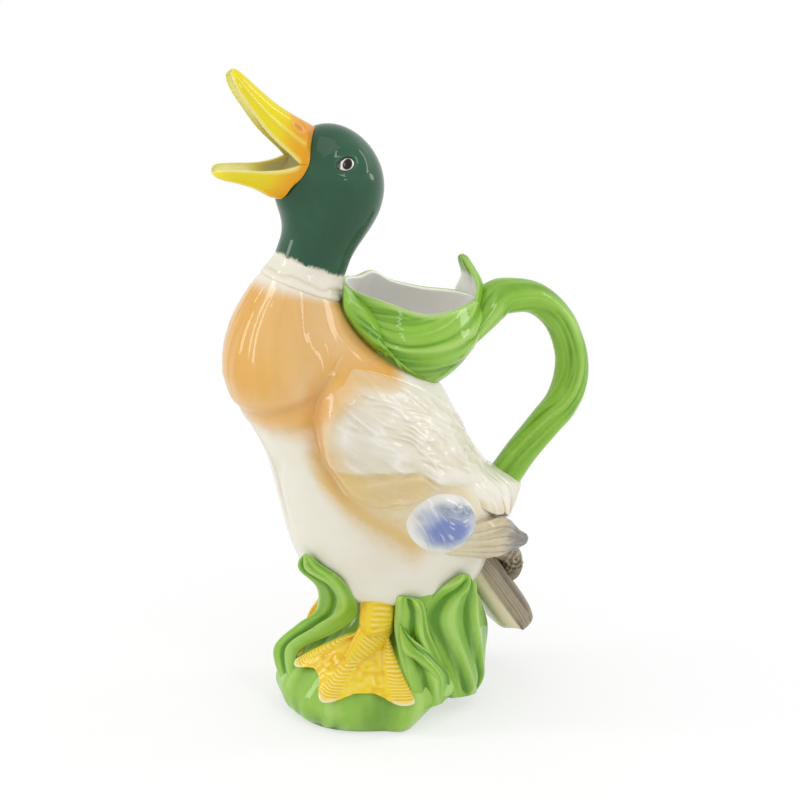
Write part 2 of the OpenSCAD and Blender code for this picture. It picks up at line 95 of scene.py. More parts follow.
def ease(t: Number) -> Array:
    """Smooth step from 0 to 1."""
    c = np.clip(t, 0.0, 1.0)
    return c * c * (3.0 - 2.0 * c)


def ramp(x: Array, start: float, over: float) -> Array:
    """Smooth step from 0 at start to 1 past it by over."""
    return ease((x - start) / over)


def fall(x: Array, start: float, over: float) -> Array:
    """Smooth step from 1 at start to 0 past it by over."""
    return 1 - ramp(x, start, over)


def mix(a: Number, b: Number, t: Number) -> Array:
    """Straight blend from a to b."""
    return a + (b - a) * t


def hump(x: Array, centre: Number, half: Number) -> Array:
    """Round bump of height 1 at centre, almost gone at twice half."""
    return np.exp(-((x - centre) / half) ** 2)


def unit(v: Array) -> Array:
    """Vectors along the last axis, made one long."""
    return v / np.maximum(np.linalg.norm(v, axis=-1, keepdims=True), TINY)


def turn(degrees: Number) -> tuple[Array, Array]:
    """Cosine and sine of an angle in degrees."""
    r = np.radians(degrees)
    return np.cos(r), np.sin(r)


def full_turn(count: int) -> Array:
    """Degrees once round, in even steps."""
    return np.linspace(0, 360, count, endpoint=False)


def sheet(rows: Array, columns: Array) -> tuple[Array, Array]:
    """Two grids, with the row value and the column value of each point."""
    down, across = np.broadcast_arrays(rows[:, None], columns[None, :])
    return down, across


def broken_line(x: Array, rows: Sequence[Sequence[float]]) -> Array:
    """Heights at x of straight lines through rows of x and height."""
    return np.interp(x, *np.array(rows, float).T)


def spline(rows: Array, s: Array, loop: bool = False) -> Array:
    """Smooth curve through rows of numbers.

    Args:
        rows: The rows that the curve passes through.
        s: Places along it, counted in rows.
        loop: Whether the last row runs on into the first.

    Returns:
        One row for each place.
    """
    rows = np.asarray(rows, float)
    s = np.asarray(s, float)
    count = len(rows)
    first = np.floor(s).astype(int)
    if not loop:
        first = np.clip(first, 0, count - 2)
    t = (s - first)[..., None]

    def at(k: int) -> Array:
        """Row k places after the first one of a span."""
        i = first + k
        return rows[i % count] if loop else rows[np.clip(i, 0, count - 1)]

    a, b, c, d = at(-1), at(0), at(1), at(2)
    return 0.5 * (2 * b + (c - a) * t + (2 * a - 5 * b + 4 * c - d) * t ** 2
                  + (3 * b - a - 3 * c + d) * t ** 3)


def noise(points: Array, cell: float | Sequence[float], seed: int = 0) -> Array:
    """Smooth noise from -1 to 1.

    Args:
        points: Positions, with x, y and z along the last axis.
        cell: Size of a noise cell, one number or one for each axis.
        seed: Picks another pattern.

    Returns:
        One value for each position.
    """
    q = np.asarray(points, float) / np.asarray(cell, float) + SEED_STEP * seed
    base = np.floor(q)
    part = q - base
    w = part ** 3 * (part * (part * 6 - 15) + 10)
    out = np.zeros(q.shape[:-1])
    for corner in np.ndindex(2, 2, 2):
        c = np.array(corner)
        h = np.sin((base + c) @ CELL_WEIGHTS) * CELL_SPREAD
        out += (2 * (h - np.floor(h)) - 1) * np.prod(np.where(c == 1, w, 1 - w), axis=-1)
    return out


def flat_noise(x: Array, y: Number, cell: float | Sequence[float], seed: int = 0) -> Array:
    """Smooth noise from -1 to 1 at flat coordinates."""
    return noise(np.stack([x, y + 0 * x, 0 * x], -1), cell, seed)


def strokes(x: Array, y: Array, angle: float, long: float, short: float, seed: int = 0) -> Array:
    """Modelled strokes: rounded ridges that run one way and end at random, -1 to 1.

    Args:
        x: First coordinate on the surface.
        y: Second coordinate on the surface.
        angle: Direction of the strokes, from x towards y.
        long: Length of a stroke.
        short: Width of a stroke.
        seed: Picks another pattern.

    Returns:
        Height of the strokes at each place.
    """
    c, s = turn(angle)
    along, across = x * c + y * s, y * c - x * s
    sway = short * 0.8 * flat_noise(along, across, long * 0.8, seed + 5)
    return flat_noise(along, across + sway, (long, short, 1.0), seed) * 1.4


def depth_inside(places: Array, outline: Array) -> tuple[Array, Array]:
    """How far places lie inside a closed outline.

    Args:
        places: Flat positions, x and y along the last axis.
        outline: Corners of the closed outline.

    Returns:
        Distance to the outline, negative outside it, and the nearest place along it from 0 to 1.
    """
    best = np.full(places.shape[:-1], np.inf)
    near = np.zeros(places.shape[:-1])
    inside = np.zeros(places.shape[:-1], bool)
    count = len(outline)
    for i in range(count):
        a, b = outline[i], outline[(i + 1) % count]
        d = b - a
        t = np.clip(((places - a) @ d) / max(d @ d, TINY), 0, 1)
        gap = np.linalg.norm(places - a - t[..., None] * d, axis=-1)
        closer = gap < best
        best = np.where(closer, gap, best)
        near = np.where(closer, (i + t) / count, near)
        crosses = (a[1] > places[..., 1]) != (b[1] > places[..., 1])
        rise = d[1] if abs(d[1]) > TINY else TINY
        inside ^= crosses & (places[..., 0] < a[0] + (places[..., 1] - a[1]) * d[0] / rise)
    return np.where(inside, best, -best), near


def grid_normals(grid: Array, loop: bool) -> Array:
    """Unit normals of a grid of points, turned away from its middle.

    Args:
        grid: Rows and columns of points.
        loop: Whether the columns close on themselves.

    Returns:
        A normal for each point.
    """
    if loop:
        across = np.roll(grid, -1, 1) - np.roll(grid, 1, 1)
    else:
        across = np.gradient(grid, axis=1)
    n = unit(np.cross(np.gradient(grid, axis=0), across))
    away = np.sum(n * (grid - grid.reshape(-1, 3).mean(0)))
    return n if away > 0 else -n


# Mesh data


@dataclass
class Skin:
    """Mesh of one piece: points in millimetres, faces, and painted masks from 0 to 1 on the points."""

    points: Array
    faces: list[list[int]]
    masks: Masks = field(default_factory=dict)

    @classmethod
    def from_grid(cls, grid: Array, masks: Masks, loop: bool = False,
                  caps: tuple[bool, bool] = (False, False), keep: Array | None = None,
                  inward: bool = False) -> "Skin":
        """Make a skin over rows and columns of points.

        Args:
            grid: Rows and columns of points.
            masks: Painted masks, shaped as the grid's rows and columns.
            loop: Whether the columns close on themselves.
            caps: Whether the first and the last row close on their middles.
            keep: Which points hold faces; all of them if left out.
            inward: Whether the faces look towards the grid's middle.

        Returns:
            The skin.
        """
        m, n = grid.shape[:2]
        index = np.arange(m * n).reshape(m, n)
        right = np.roll(index, -1, 1) if loop else index[:, 1:]
        left = index if loop else index[:, :-1]
        quads = np.stack([left[:-1], right[:-1], right[1:], left[1:]], -1).reshape(-1, 4)
        points = grid.reshape(-1, 3)
        if keep is not None:
            quads = quads[keep.reshape(-1)[quads].all(1)]
        corners = points[quads]
        n_face = np.cross(corners[:, 2] - corners[:, 0], corners[:, 3] - corners[:, 1])
        away = np.sum(n_face * (corners.mean(1) - points.mean(0)))
        flip = (away < 0) != inward
        faces = (quads[:, ::-1] if flip else quads).tolist()
        values = {k: np.broadcast_to(v, (m, n)).reshape(-1) for k, v in masks.items()}
        for end, wanted in zip((0, m - 1), caps):
            if not wanted:
                continue
            ring = index[end]
            middle = len(points)
            points = np.vstack([points, points[ring].mean(0)])
            values = {k: np.append(v, v[ring].mean()) for k, v in values.items()}
            for a, b in zip(ring, np.roll(ring, -1)):
                tri = [int(a), int(b), middle]
                faces.append(tri if (end == 0) == flip else tri[::-1])
        return cls(points, faces, values)

    def with_skin(self, other: "Skin") -> "Skin":
        """Join this skin and another.

        Args:
            other: The other skin.

        Returns:
            Both in one mesh; a mask that one of them lacks is 0 there.
        """
        shift = len(self.points)
        masks = {k: np.concatenate([self.masks.get(k, np.zeros(shift)),
                                    other.masks.get(k, np.zeros(len(other.points)))])
                 for k in self.masks | other.masks}
        faces = self.faces + [[i + shift for i in f] for f in other.faces]
        return Skin(np.vstack([self.points, other.points]), faces, masks)

    def on(self, side: Side) -> "Skin":
        """This left-hand skin, or its mirror image for the right side."""
        faces = self.faces if side is Side.LEFT else [f[::-1] for f in self.faces]
        return Skin(self.points * np.array([1, side.value, 1]), faces, self.masks)


@dataclass
class Sweep:
    """Rings along a path of rows x, y, z, half width and half depth, with their width along a side."""

    rows: Sequence[Sequence[float]]
    side: Sequence[float]
    steps: int
    sides: int
    look: float = 0.05

    @cached_property
    def grid(self) -> tuple[Array, Array]:
        """Places along the path, 0 to 1, and turns round a ring in radians."""
        return sheet(np.linspace(0, 1, self.steps), np.linspace(0, 2 * math.pi, self.sides, endpoint=False))

    @property
    def axes(self) -> tuple[Array, Array]:
        """Find how each ring lies, from the path a little ahead and a little back.

        Returns:
            Directions across the width and through the depth.
        """
        last = len(self.rows) - 1
        s = self.grid[0][:, 0] * last
        ahead = spline(self.rows, np.minimum(last, s + self.look))
        back = spline(self.rows, np.maximum(0, s - self.look))
        d = unit(ahead[:, :3] - back[:, :3])
        side = np.broadcast_to(np.asarray(self.side, float), d.shape)
        w = unit(side - np.sum(side * d, -1, keepdims=True) * d)
        return w, np.cross(d, w)

    def place(self, across: Array, through: Array) -> Array:
        """Points at shares of the half width and half depth.

        Args:
            across: Shares of the half width, a ring to a row.
            through: Shares of the half depth, a ring to a row.

        Returns:
            The grid of points.
        """
        w, u = self.axes
        path = spline(self.rows, self.grid[0][:, 0] * (len(self.rows) - 1))
        return (path[:, None, :3] + w[:, None] * (path[:, 3:4] * across)[..., None]
                + u[:, None] * (path[:, 4:5] * through)[..., None])

    def rings(self, swell: Number = 1.0) -> Array:
        """Oval rings, with their radii times swell."""
        theta = self.grid[1]
        return self.place(np.cos(theta) * swell, np.sin(theta) * swell)


# Shared surfaces


@dataclass(frozen=True)
class BodyForm:
    """Surface of the body casting, in rows up from the belly and degrees round from the breast."""

    belly_z: float = 62.0
    height: float = 151.5
    length: float = 110.0
    width: float = 102.0
    lean: float = 46.0
    neck_tilt: float = 22.0
    collar_d: float = 40.0
    wall: float = 5.0

    @cached_property
    def rows(self) -> Array:
        """Scale the shares of each row to the body's sizes.

        Returns:
            Rows of x, z, tilt, half length and half width.
        """
        neck = self.collar_d / 2
        shares = [[-0.022, 0.00, 0, 0.180, 0.196], [-0.010, 0.00, 0, 0.290, 0.304],
                  [0.036, 0.00, 0, 0.370, 0.373], [0.098, 0.00, 0, 0.424, 0.413],
                  [0.178, 0.00, 0, 0.470, 0.451], [0.317, 0.080, 0, 0.488, 0.490],
                  [0.455, 0.285, 0, 0.452, 0.500], [0.561, 0.460, 0, 0.450, 0.500],
                  [0.660, 0.640, 0, 0.448, 0.480], [0.759, 0.820, 0.1, 0.410, 0.441],
                  [0.845, 0.960, 0.36, 0.328, 0.368], [0.927, 1.02, 0.66, 0.245, 0.275],
                  [1.000, 1.00, 1, neck / self.length, neck / self.width]]
        scale = np.array([self.height, -self.lean, self.neck_tilt, self.length, self.width])
        q = np.array(shares) * scale
        return np.stack([q[:, 1], q[:, 0] + self.belly_z, q[:, 2], q[:, 3], q[:, 4]], -1)

    @property
    def top(self) -> int:
        """Row of the neck seam."""
        return len(self.rows) - 1

    @property
    def neck_dir(self) -> Array:
        """Direction up the neck."""
        c, s = turn(self.neck_tilt)
        return np.array([s, 0, c])

    @property
    def neck_out(self) -> Array:
        """Direction across the neck, towards the tail."""
        c, s = turn(self.neck_tilt)
        return np.array([c, 0, -s])

    @property
    def collar_seat(self) -> Array:
        """Middle of the neck seam."""
        return np.array([-self.lean, 0, self.belly_z + self.height])

    @property
    def tail_x(self) -> float:
        """Where the back of the body ends and the tail begins."""
        return 0.45 * self.length

    def from_tail(self, path: Sequence[Sequence[float]]) -> Array:
        """Path rows that are measured from the tail's root, moved to their place."""
        return np.array(path, float) + [self.tail_x, 0, self.belly_z, 0, 0]

    def point(self, s: Number, phi: Number, off: Number = 0.0) -> Array:
        """Find points on the surface.

        Args:
            s: Rows up from the belly.
            phi: Degrees from the breast, turning to the left side.
            off: How far the points are raised.

        Returns:
            The points.
        """
        s, phi, off = np.broadcast_arrays(np.asarray(s, float), phi, off)
        q = spline(self.rows, s)
        cf, sf = turn(phi)
        ct, st = turn(q[..., 2])
        reach = (q[..., 3] + off) * cf
        return np.stack([q[..., 0] - reach * ct, -(q[..., 4] + off) * sf, q[..., 1] + reach * st], -1)

    def flat(self, s: Array, phi: Array) -> Array:
        """Rows and angles laid out flat in millimetres: round the side, and up."""
        s, phi = np.broadcast_arrays(np.asarray(s, float), phi)
        return np.stack([phi * math.radians(self.width * 0.49), spline(self.rows, s)[..., 1]], -1)


@dataclass(frozen=True)
class HeadForm:
    """Surface of the head casting, in millimetres up the neck and degrees round from the face."""

    body: BodyForm = BodyForm()
    collar_h: float = 11.0
    neck_d: float = 34.0
    height: float = 65.0
    length: float = 49.0
    width: float = 45.5
    crown_lead: float = 8.0
    chin: float = 4.5

    @property
    def seat(self) -> Array:
        """Middle of the seam between collar and head."""
        return self.body.collar_seat + self.collar_h * self.body.neck_dir

    @property
    def middle(self) -> float:
        """Height of the widest part of the head."""
        return 0.615 * self.height

    def centre(self, s: Array) -> Array:
        """Middle line of the neck and head, at heights up the neck."""
        lead = self.crown_lead * (s / self.height) ** 2
        return self.seat + s[..., None] * self.body.neck_dir - lead[..., None] * self.body.neck_out

    def half(self, s: Array, full: float) -> Array:
        """Narrow a size of the head towards the neck and the crown.

        Args:
            s: Heights up the neck.
            full: Length or width at the widest part.

        Returns:
            Half of the size at each height.
        """
        low = mix(self.neck_d / 2, full / 2, ease((s - 0.09 * self.height) / (0.5 * self.height)))
        share = np.clip((s - self.middle) / (self.height - self.middle), 0, 1)
        return np.where(s < self.middle, low, full / 2 * np.sqrt(1 - share ** 2))

    def point(self, s: Number, phi: Number, off: Number = 0.0) -> Array:
        """Find points on the surface.

        Args:
            s: Heights up the neck.
            phi: Degrees from the face, turning to the left side.
            off: How far the points are raised.

        Returns:
            The points.
        """
        s, phi, off = np.broadcast_arrays(np.asarray(s, float), phi, off)
        c, sn = turn(phi)
        jut = self.chin * hump(s, 25.5, 9.0) * ramp(c, 0.55, 0.45)
        out = ((self.half(s, self.length) + off + jut) * c)[..., None] * self.body.neck_out
        flank = np.stack([0 * s, (self.half(s, self.width) + off) * sn, 0 * s], -1)
        return self.centre(s) - out - flank

    def flat(self, s: Array, phi: Array) -> Array:
        """Heights and angles laid out flat in millimetres."""
        s, phi = np.broadcast_arrays(np.asarray(s, float), phi)
        return np.stack([phi * math.radians(self.width / 2), s], -1)


@dataclass(frozen=True)
class MoundForm:
    """Surface of the grassy mound, in rows up from the table and degrees round from the tail."""

    height: float = 62.0
    length: float = 101.0
    width: float = 92.0
    shift: float = -9.0
    taper: float = 0.55
    ripple: float = 0.02

    @cached_property
    def rows(self) -> Array:
        """Rows of height, half length and half width shares."""
        return np.array([[0, 0.43, 0.435], [0.08, 0.485, 0.48], [0.2, 0.51, 0.50], [0.36, 0.475, 0.457],
                         [0.52, 0.40, 0.38], [0.68, 0.315, 0.295], [0.84, 0.24, 0.23], [1, 0.172, 0.19]])

    @property
    def top(self) -> int:
        """Row where the mound meets the belly."""
        return len(self.rows) - 1

    def point(self, s: Number, a: Number, off: Number = 0.0) -> Array:
        """Find points on the surface.

        Args:
            s: Rows up from the table.
            a: Degrees from the tail, turning to the right side.
            off: How far the points are raised.

        Returns:
            The points.
        """
        s, a, off = np.broadcast_arrays(np.asarray(s, float), a, off)
        q = spline(self.rows, s)
        c, sn = turn(a)
        waist = 1 - self.taper * (1 - 0.75 * ease(q[..., 0] / 0.3)) * ramp(c, -0.1, 0.6)
        wave = 1 + self.ripple * np.cos(5 * np.radians(a))
        return np.stack([self.shift * (1 - q[..., 0]) + (self.length * q[..., 1] * wave + off) * c,
                         (self.width * q[..., 2] * wave * waist + off) * sn, self.height * q[..., 0]], -1)


@dataclass(frozen=True)
class CupForm:
    """Wall of the leaf cup, in degrees round from the tail and shares up from foot to rim."""

    body: BodyForm = BodyForm()
    rim_z: float = 200.0
    length: float = 66.0
    width: float = 55.0
    wall: float = 3.5
    belly: float = 8.0
    foot_row: float = 9.65
    foot_half_row: float = 1.65
    foot_half_phi: float = 50.0
    neck_rise: float = 9.0
    tail_rise: float = -1.0
    tail_reach: float = 2.0
    roll: float = 3.0
    twist: float = 4.0
    near_rise: float = 7.0
    far_wave: float = 4.0
    mm_per_row: float = 12.0
    degrees_per_mm: float = 1.6

    def foot_half(self, inset: Number) -> tuple[Number, Number]:
        """Half size of the foot, in body rows and in degrees."""
        return self.foot_half_row - inset / self.mm_per_row, self.foot_half_phi - self.degrees_per_mm * inset

    def foot(self, a: Array, inset: Number, off: Number = 0.1) -> Array:
        """Follow the foot of the wall on the body.

        Args:
            a: Degrees from the tail.
            inset: How far inside the outer face.
            off: How far above the body.

        Returns:
            The points.
        """
        c, s = turn(a)
        rows, degrees = self.foot_half(inset)
        return self.body.point(self.foot_row - rows * c, 180 + degrees * s, off)

    def rim(self, a: Array, inset: Number) -> Array:
        """Follow the wavy edge of the mouth.

        Args:
            a: Degrees from the tail.
            inset: How far inside the outer face.

        Returns:
            The points.
        """
        c, s = turn(a)
        x = -0.5 * self.body.lean + 0.47 * self.length + (self.length / 2 - inset) * c
        x = x + self.tail_reach * np.maximum(0, c) ** 4
        y = (self.width / 2 - inset) * s * (1 - 0.2 * c)
        z = (self.rim_z + self.neck_rise * np.maximum(0, -c) ** 2 + self.tail_rise * np.maximum(0, c) ** 3
             + self.roll * s - self.twist * s * c + self.near_rise * hump(a % 360, 232, 38)
             + self.far_wave * (hump(a % 360, 106, 13) - 0.3 * hump(a % 360, 62, 20)))
        return np.stack(np.broadcast_arrays(x, y, z), -1)

    def point(self, a: Array, t: Array, inset: Number = 0.0) -> Array:
        """Find points on the wall.

        Args:
            a: Degrees from the tail.
            t: Shares up from foot to rim.
            inset: How far inside the outer face.

        Returns:
            The points.
        """
        a, t, inset = np.broadcast_arrays(np.asarray(a, float), t, inset)
        c, s = turn(a)
        swell = self.belly * np.sin(math.pi * np.clip(t, 0, 1))[..., None]
        lean = np.stack([np.maximum(0, c), 0.6 * s, np.full_like(c, -0.25)], -1)
        return mix(self.foot(a, inset), self.rim(a, inset), t[..., None]) + swell * lean


BODY_FORM = BodyForm()
HEAD_FORM = HeadForm(BODY_FORM)
MOUND_FORM = MoundForm()
CUP_FORM = CupForm(BODY_FORM)


# Shader graph


def linear(code: str) -> tuple[float, float, float, float]:
    """Opaque scene colour, in linear light, of a hex code such as #7DB23F."""
    parts = [int(code[i:i + 2], 16) / 255 for i in (1, 3, 5)]
    return *(p / 12.92 if p <= 0.04045 else ((p + 0.055) / 1.055) ** 2.4 for p in parts), 1.0


@dataclass(frozen=True)
class Value:
    """A number socket of a graph, whose arithmetic adds Math nodes."""

    graph: "Graph"
    socket: Socket

    def math(self, operation: str, a: "Value | float", b: "Value | float" = 0.0) -> "Value":
        """Result of a new Math node, by Blender's name of its operation."""
        return self.graph.node("ShaderNodeMath", {"operation": operation}, {0: a, 1: b}).value()

    def __add__(self, other: "Value | float") -> "Value":
        """Sum."""
        return self.math("ADD", self, other)

    __radd__ = __add__

    def __sub__(self, other: "Value | float") -> "Value":
        """Difference."""
        return self.math("SUBTRACT", self, other)

    def __rsub__(self, other: "Value | float") -> "Value":
        """Difference from a plain number."""
        return self.math("SUBTRACT", other, self)

    def __mul__(self, other: "Value | float") -> "Value":
        """Product."""
        return self.math("MULTIPLY", self, other)

    __rmul__ = __mul__

    def clamp(self) -> "Value":
        """This value held between 0 and 1."""
        return self.math("MINIMUM", self.math("MAXIMUM", self, 0.0), 1.0)


@dataclass(frozen=True)
class Made:
    """A node that a graph has made."""

    graph: "Graph"
    node: bpy.types.Node

    def out(self, name: str | int = 0) -> Socket:
        """Output socket by name, identifier or number."""
        return self.graph.socket(self.node.outputs, name)

    def value(self, name: str | int = 0) -> Value:
        """Output socket as a value for arithmetic."""
        return Value(self.graph, self.out(name))


class Graph:
    """Node tree of one material or world."""

    def __init__(self, tree: bpy.types.NodeTree) -> None:
        """Start from an empty tree."""
        self.tree = tree
        tree.nodes.clear()

    @staticmethod
    def socket(sockets: Sequence[Socket], key: str | int) -> Socket:
        """Socket of a node, by number, identifier or name."""
        named = (s for s in sockets if key in (s.identifier, s.name))
        return sockets[key] if isinstance(key, int) else next(named)

    def node(self, kind: str, settings: dict[str, object] | None = None,
             sockets: dict[str | int, object] | None = None) -> Made:
        """Add a node.

        Args:
            kind: Blender's node type.
            settings: Properties of the node, set first.
            sockets: Values, sockets or wrapped values for its inputs.

        Returns:
            The node.
        """
        made = self.tree.nodes.new(kind)
        for key, setting in (settings or {}).items():
            setattr(made, key, setting)
        for key, given in (sockets or {}).items():
            target = self.socket(made.inputs, key)
            source = given.socket if isinstance(given, Value) else given
            if isinstance(source, Socket):
                self.tree.links.new(source, target)
            else:
                target.default_value = source
        return Made(self, made)

    def mixed(self, a: object, b: object, factor: Value | float) -> Socket:
        """Blend of two colours."""
        return self.node("ShaderNodeMix", {"data_type": "RGBA"},
                         {"Factor_Float": factor, "A_Color": a, "B_Color": b}).out("Result_Color")

    def speckle(self, where: Socket, scale: float, detail: float = 2.0) -> Value:
        """Noise from 0 to 1 at a scale in cells for each metre."""
        return self.node("ShaderNodeTexNoise", None,
                         {"Vector": where, "Scale": scale, "Detail": detail}).value("Fac")

    def seen(self) -> Value:
        """1 for what the camera sees by itself or through gloss or glass, and 0 for what only lights."""
        ray = self.node("ShaderNodeLightPath")
        return sum(ray.value(f"Is {kind} Ray") for kind in ("Camera", "Glossy", "Transmission")).clamp()


# Finishes


@dataclass(frozen=True)
class Coat:
    """One brushed or sprayed coat of underglaze colour, laid where a mask is painted."""

    mask: str
    colour: str
    strength: float = 1.0
    ragged: float = 0.0
    brush: float = 350.0


@dataclass(frozen=True)
class Glaze:
    """Clear gloss glaze over a ground colour and its coats."""

    name: str
    ground: str
    coats: tuple[Coat, ...]
    mottle: str
    mottle_share: float = 0.25
    mottle_scale: float = 90.0
    roughness: float = 0.32
    ripple: float = 0.16
    ripple_scale: float = 110.0
    ripple_height: float = 0.002
    peel: float = 0.05
    peel_scale: float = 380.0
    gloss_spread: float = 0.16
    gloss_scale: float = 260.0
    ior: float = 1.5
    specular: float = 0.06
    clear: float = 0.55
    clear_roughness: float = 0.035

    def material(self) -> bpy.types.Material:
        """Make the finish into a material, once.

        Returns:
            The material.
        """
        found = bpy.data.materials.get(self.name)
        if found:
            return found
        made = bpy.data.materials.new(self.name)
        made.use_nodes = True
        graph = Graph(made.node_tree)
        where = graph.node("ShaderNodeTexCoord").out("Object")
        cloud = ((graph.speckle(where, self.mottle_scale, 3.0) - 0.42) * 3.0).clamp()
        colour = graph.mixed(linear(self.ground), linear(self.mottle), cloud * self.mottle_share)
        for coat in self.coats:
            colour = graph.mixed(colour, linear(coat.colour), self.laid(graph, where, coat))
        gloss = (graph.speckle(where, self.gloss_scale) - 0.5) * self.gloss_spread
        waves = graph.speckle(where, self.ripple_scale, 1.0)
        peel = graph.speckle(where, self.peel_scale, 1.0)
        bump = graph.node("ShaderNodeBump", None, {
            "Strength": self.ripple, "Distance": self.ripple_height, "Height": waves + peel * self.peel})
        shader = graph.node("ShaderNodeBsdfPrincipled", None, {
            "Base Color": colour, "Roughness": gloss + self.roughness, "Normal": bump.out("Normal"),
            "IOR": self.ior, "Specular IOR Level": self.specular, "Coat Weight": self.clear,
            "Coat Roughness": self.clear_roughness, "Coat IOR": self.ior})
        graph.node("ShaderNodeOutputMaterial", None, {"Surface": shader.out("BSDF")})
        return made

    @staticmethod
    def laid(graph: Graph, where: Socket, coat: Coat) -> Value:
        """Cover of one coat: its mask with a broken edge.

        Args:
            graph: Graph of the material.
            where: Coordinates on the object.
            coat: The coat.

        Returns:
            Cover from 0 to 1.
        """
        mask = graph.node("ShaderNodeAttribute", {"attribute_name": coat.mask}).value("Fac")
        cover = mask
        if coat.ragged:
            brushed = graph.speckle(where, coat.brush, 3.0) - 0.5
            edge = mask * (1.0 - mask) * 4.0
            cover = (mask + brushed * edge * coat.ragged).clamp()
        return cover * coat.strength


# In every glaze the hollow coat darkens relief hollows, both where glaze pools and as painted shade
PLUMAGE = Glaze("glazed_plumage", "#E6E1D2", (
    # Tan and deep also carry painted shade under and beside the wing
    Coat("tan", "#D9BC78", 0.9, 0.5), Coat("rust", "#DBA64E", 0.97, 0.3, 160.0),
    Coat("deep", "#D38F35", 0.85, 0.3), Coat("hollow", "#CBB98F", 0.5, 0.2),
    Coat("ridge", "#F3F0E8", 0.5), Coat("grey", "#8C837A", 0.9, 0.5), Coat("inside", "#E8E6DC", 1.0)),
    "#DFD8C4", 0.35)
HEAD_GREEN = Glaze("glazed_head_green", "#254F36", (
    Coat("pale", "#E0DAC6", 1.0, 1.3, 520.0), Coat("hollow", "#163A26", 0.8), Coat("ridge", "#33664A", 0.5)),
    "#2C5B40", 0.7, 60.0, 0.35, 0.05, 70.0)
# Bill coats: deep is partly painted shade, inside is painted shade in the mouth, pale is painted light on the
# inner face
BILL = Glaze("glazed_bill", "#E6D416", (
    Coat("orange", "#E8A512", 1.0, 0.4, 220.0), Coat("deep", "#E08C1C", 0.8, 0.4),
    Coat("ridge", "#EFE37A", 0.7), Coat("pink", "#EBB27C", 1.0, 0.3), Coat("inside", "#D2CA9E", 1.0, 0.2),
    Coat("lip", "#EDE58A", 0.8, 0.3), Coat("pale", "#FAF5B0", 0.9, 0.3)),
    "#EADC2E", 0.5, 70.0, 0.35, 0.05, 80.0)
EYE = Glaze("glazed_eye", "#E8E4DA", (
    Coat("iris", "#3B2416", 1.0, 0.2), Coat("pupil", "#0B0908", 1.0), Coat("line", "#16231B", 1.0, 0.2)),
    "#DDD5C6", 0.2, 300.0, 0.25, 0.02)
VIOLET = Glaze("glazed_wing_patch", "#D9DAD6", (
    Coat("haze", "#A9B3CC", 0.8, 0.8, 240.0), Coat("blue", "#7080BD", 0.9, 0.6, 300.0),
    Coat("slate", "#6C7A88", 0.9, 0.9, 420.0), Coat("tan", "#D6BC82", 0.6, 0.5),
    Coat("hollow", "#8089B8", 0.5, 0.4), Coat("ridge", "#EFEFEC", 0.8)),
    "#CDD1D3", 0.4, 120.0)
TAUPE = Glaze("glazed_tail", "#C3B28D", (
    Coat("grey", "#847D70", 0.9, 0.7, 260.0), Coat("hollow", "#57504A", 0.8, 0.6, 500.0),
    Coat("ridge", "#CFC3A4", 0.7, 0.4), Coat("cream", "#DDD4B4", 1.0, 0.5),
    Coat("dark", "#4C4641", 0.85, 0.6)),
    "#B4A47F", 0.5, 120.0)
LEAF = Glaze("glazed_leaf", "#88B93C", (
    Coat("hollow", "#4E8313", 0.9, 0.4, 300.0), Coat("ridge", "#AFD272", 0.8, 0.5, 300.0),
    Coat("olive", "#8A8A28", 0.75, 0.4), Coat("edge", "#B4D07E", 0.8, 0.3),
    Coat("inside", "#FCFAF4", 1.0, 0.2)),
    "#94C24E", 0.6, 110.0, 0.38, 0.14)
FOOT = Glaze("glazed_foot", "#E9CC28", (
    Coat("hollow", "#DA9C12", 0.8, 0.6, 700.0), Coat("ridge", "#F1E28C", 0.75, 0.4, 500.0),
    Coat("orange", "#E29A1A", 0.7, 0.8, 400.0), Coat("claw", "#E6DCB2", 0.9, 0.3),
    Coat("cream", "#E6E1D2", 1.0, 0.3)),
    "#E9CF3E", 0.5, 160.0)


# Pieces


@dataclass
class Assembly:
    """A group of pieces that is built and dressed together."""

    pieces: list[bpy.types.Object] = field(default_factory=list, init=False)

    def add(self, name: str, skin: Skin, node: str, slot: Slot, glaze: Glaze) -> None:
        """Make a skin into a piece that stands for a node.

        Args:
            name: Name of the piece.
            skin: Its mesh data.
            node: The node that it replaces.
            slot: Its material slot in the record; not used.
            glaze: Its finish.
        """
        mesh = bpy.data.meshes.new(name)
        mesh.from_pydata((skin.points * MM).tolist(), [], skin.faces)
        for mask, values in skin.masks.items():
            layer = mesh.attributes.new(mask, "FLOAT", "POINT")
            layer.data.foreach_set("value", np.clip(values, 0, 1).astype(np.float32))
        mesh.polygons.foreach_set("use_smooth", np.ones(len(mesh.polygons), bool))
        mesh.materials.append(glaze.material())
        mesh.validate()
        mesh.update()
        piece = bpy.data.objects.new(name, mesh)
        bpy.context.scene.collection.objects.link(piece)
        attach(piece, BODY)
        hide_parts(node)
        self.pieces.append(piece)

    def add_pair(self, name: str, skin: Skin, node: str, slot: Slot, glaze: Glaze) -> None:
        """Make a left-hand skin and its mirror image into pieces, with the side before their names."""
        for side in Side:
            self.add(side.named(name), skin.on(side), side.named(node), slot, glaze)

    def build(self) -> None:
        """Make the pieces."""
        raise NotImplementedError


def relief_masks(height: Array, scale: float) -> Masks:
    """Masks of hollows, darkened where glaze pools and as painted shade, and ridges, where it thins, both
    full at a height of scale.
    """
    return {"hollow": ease(-height / scale), "ridge": ease(height / scale)}


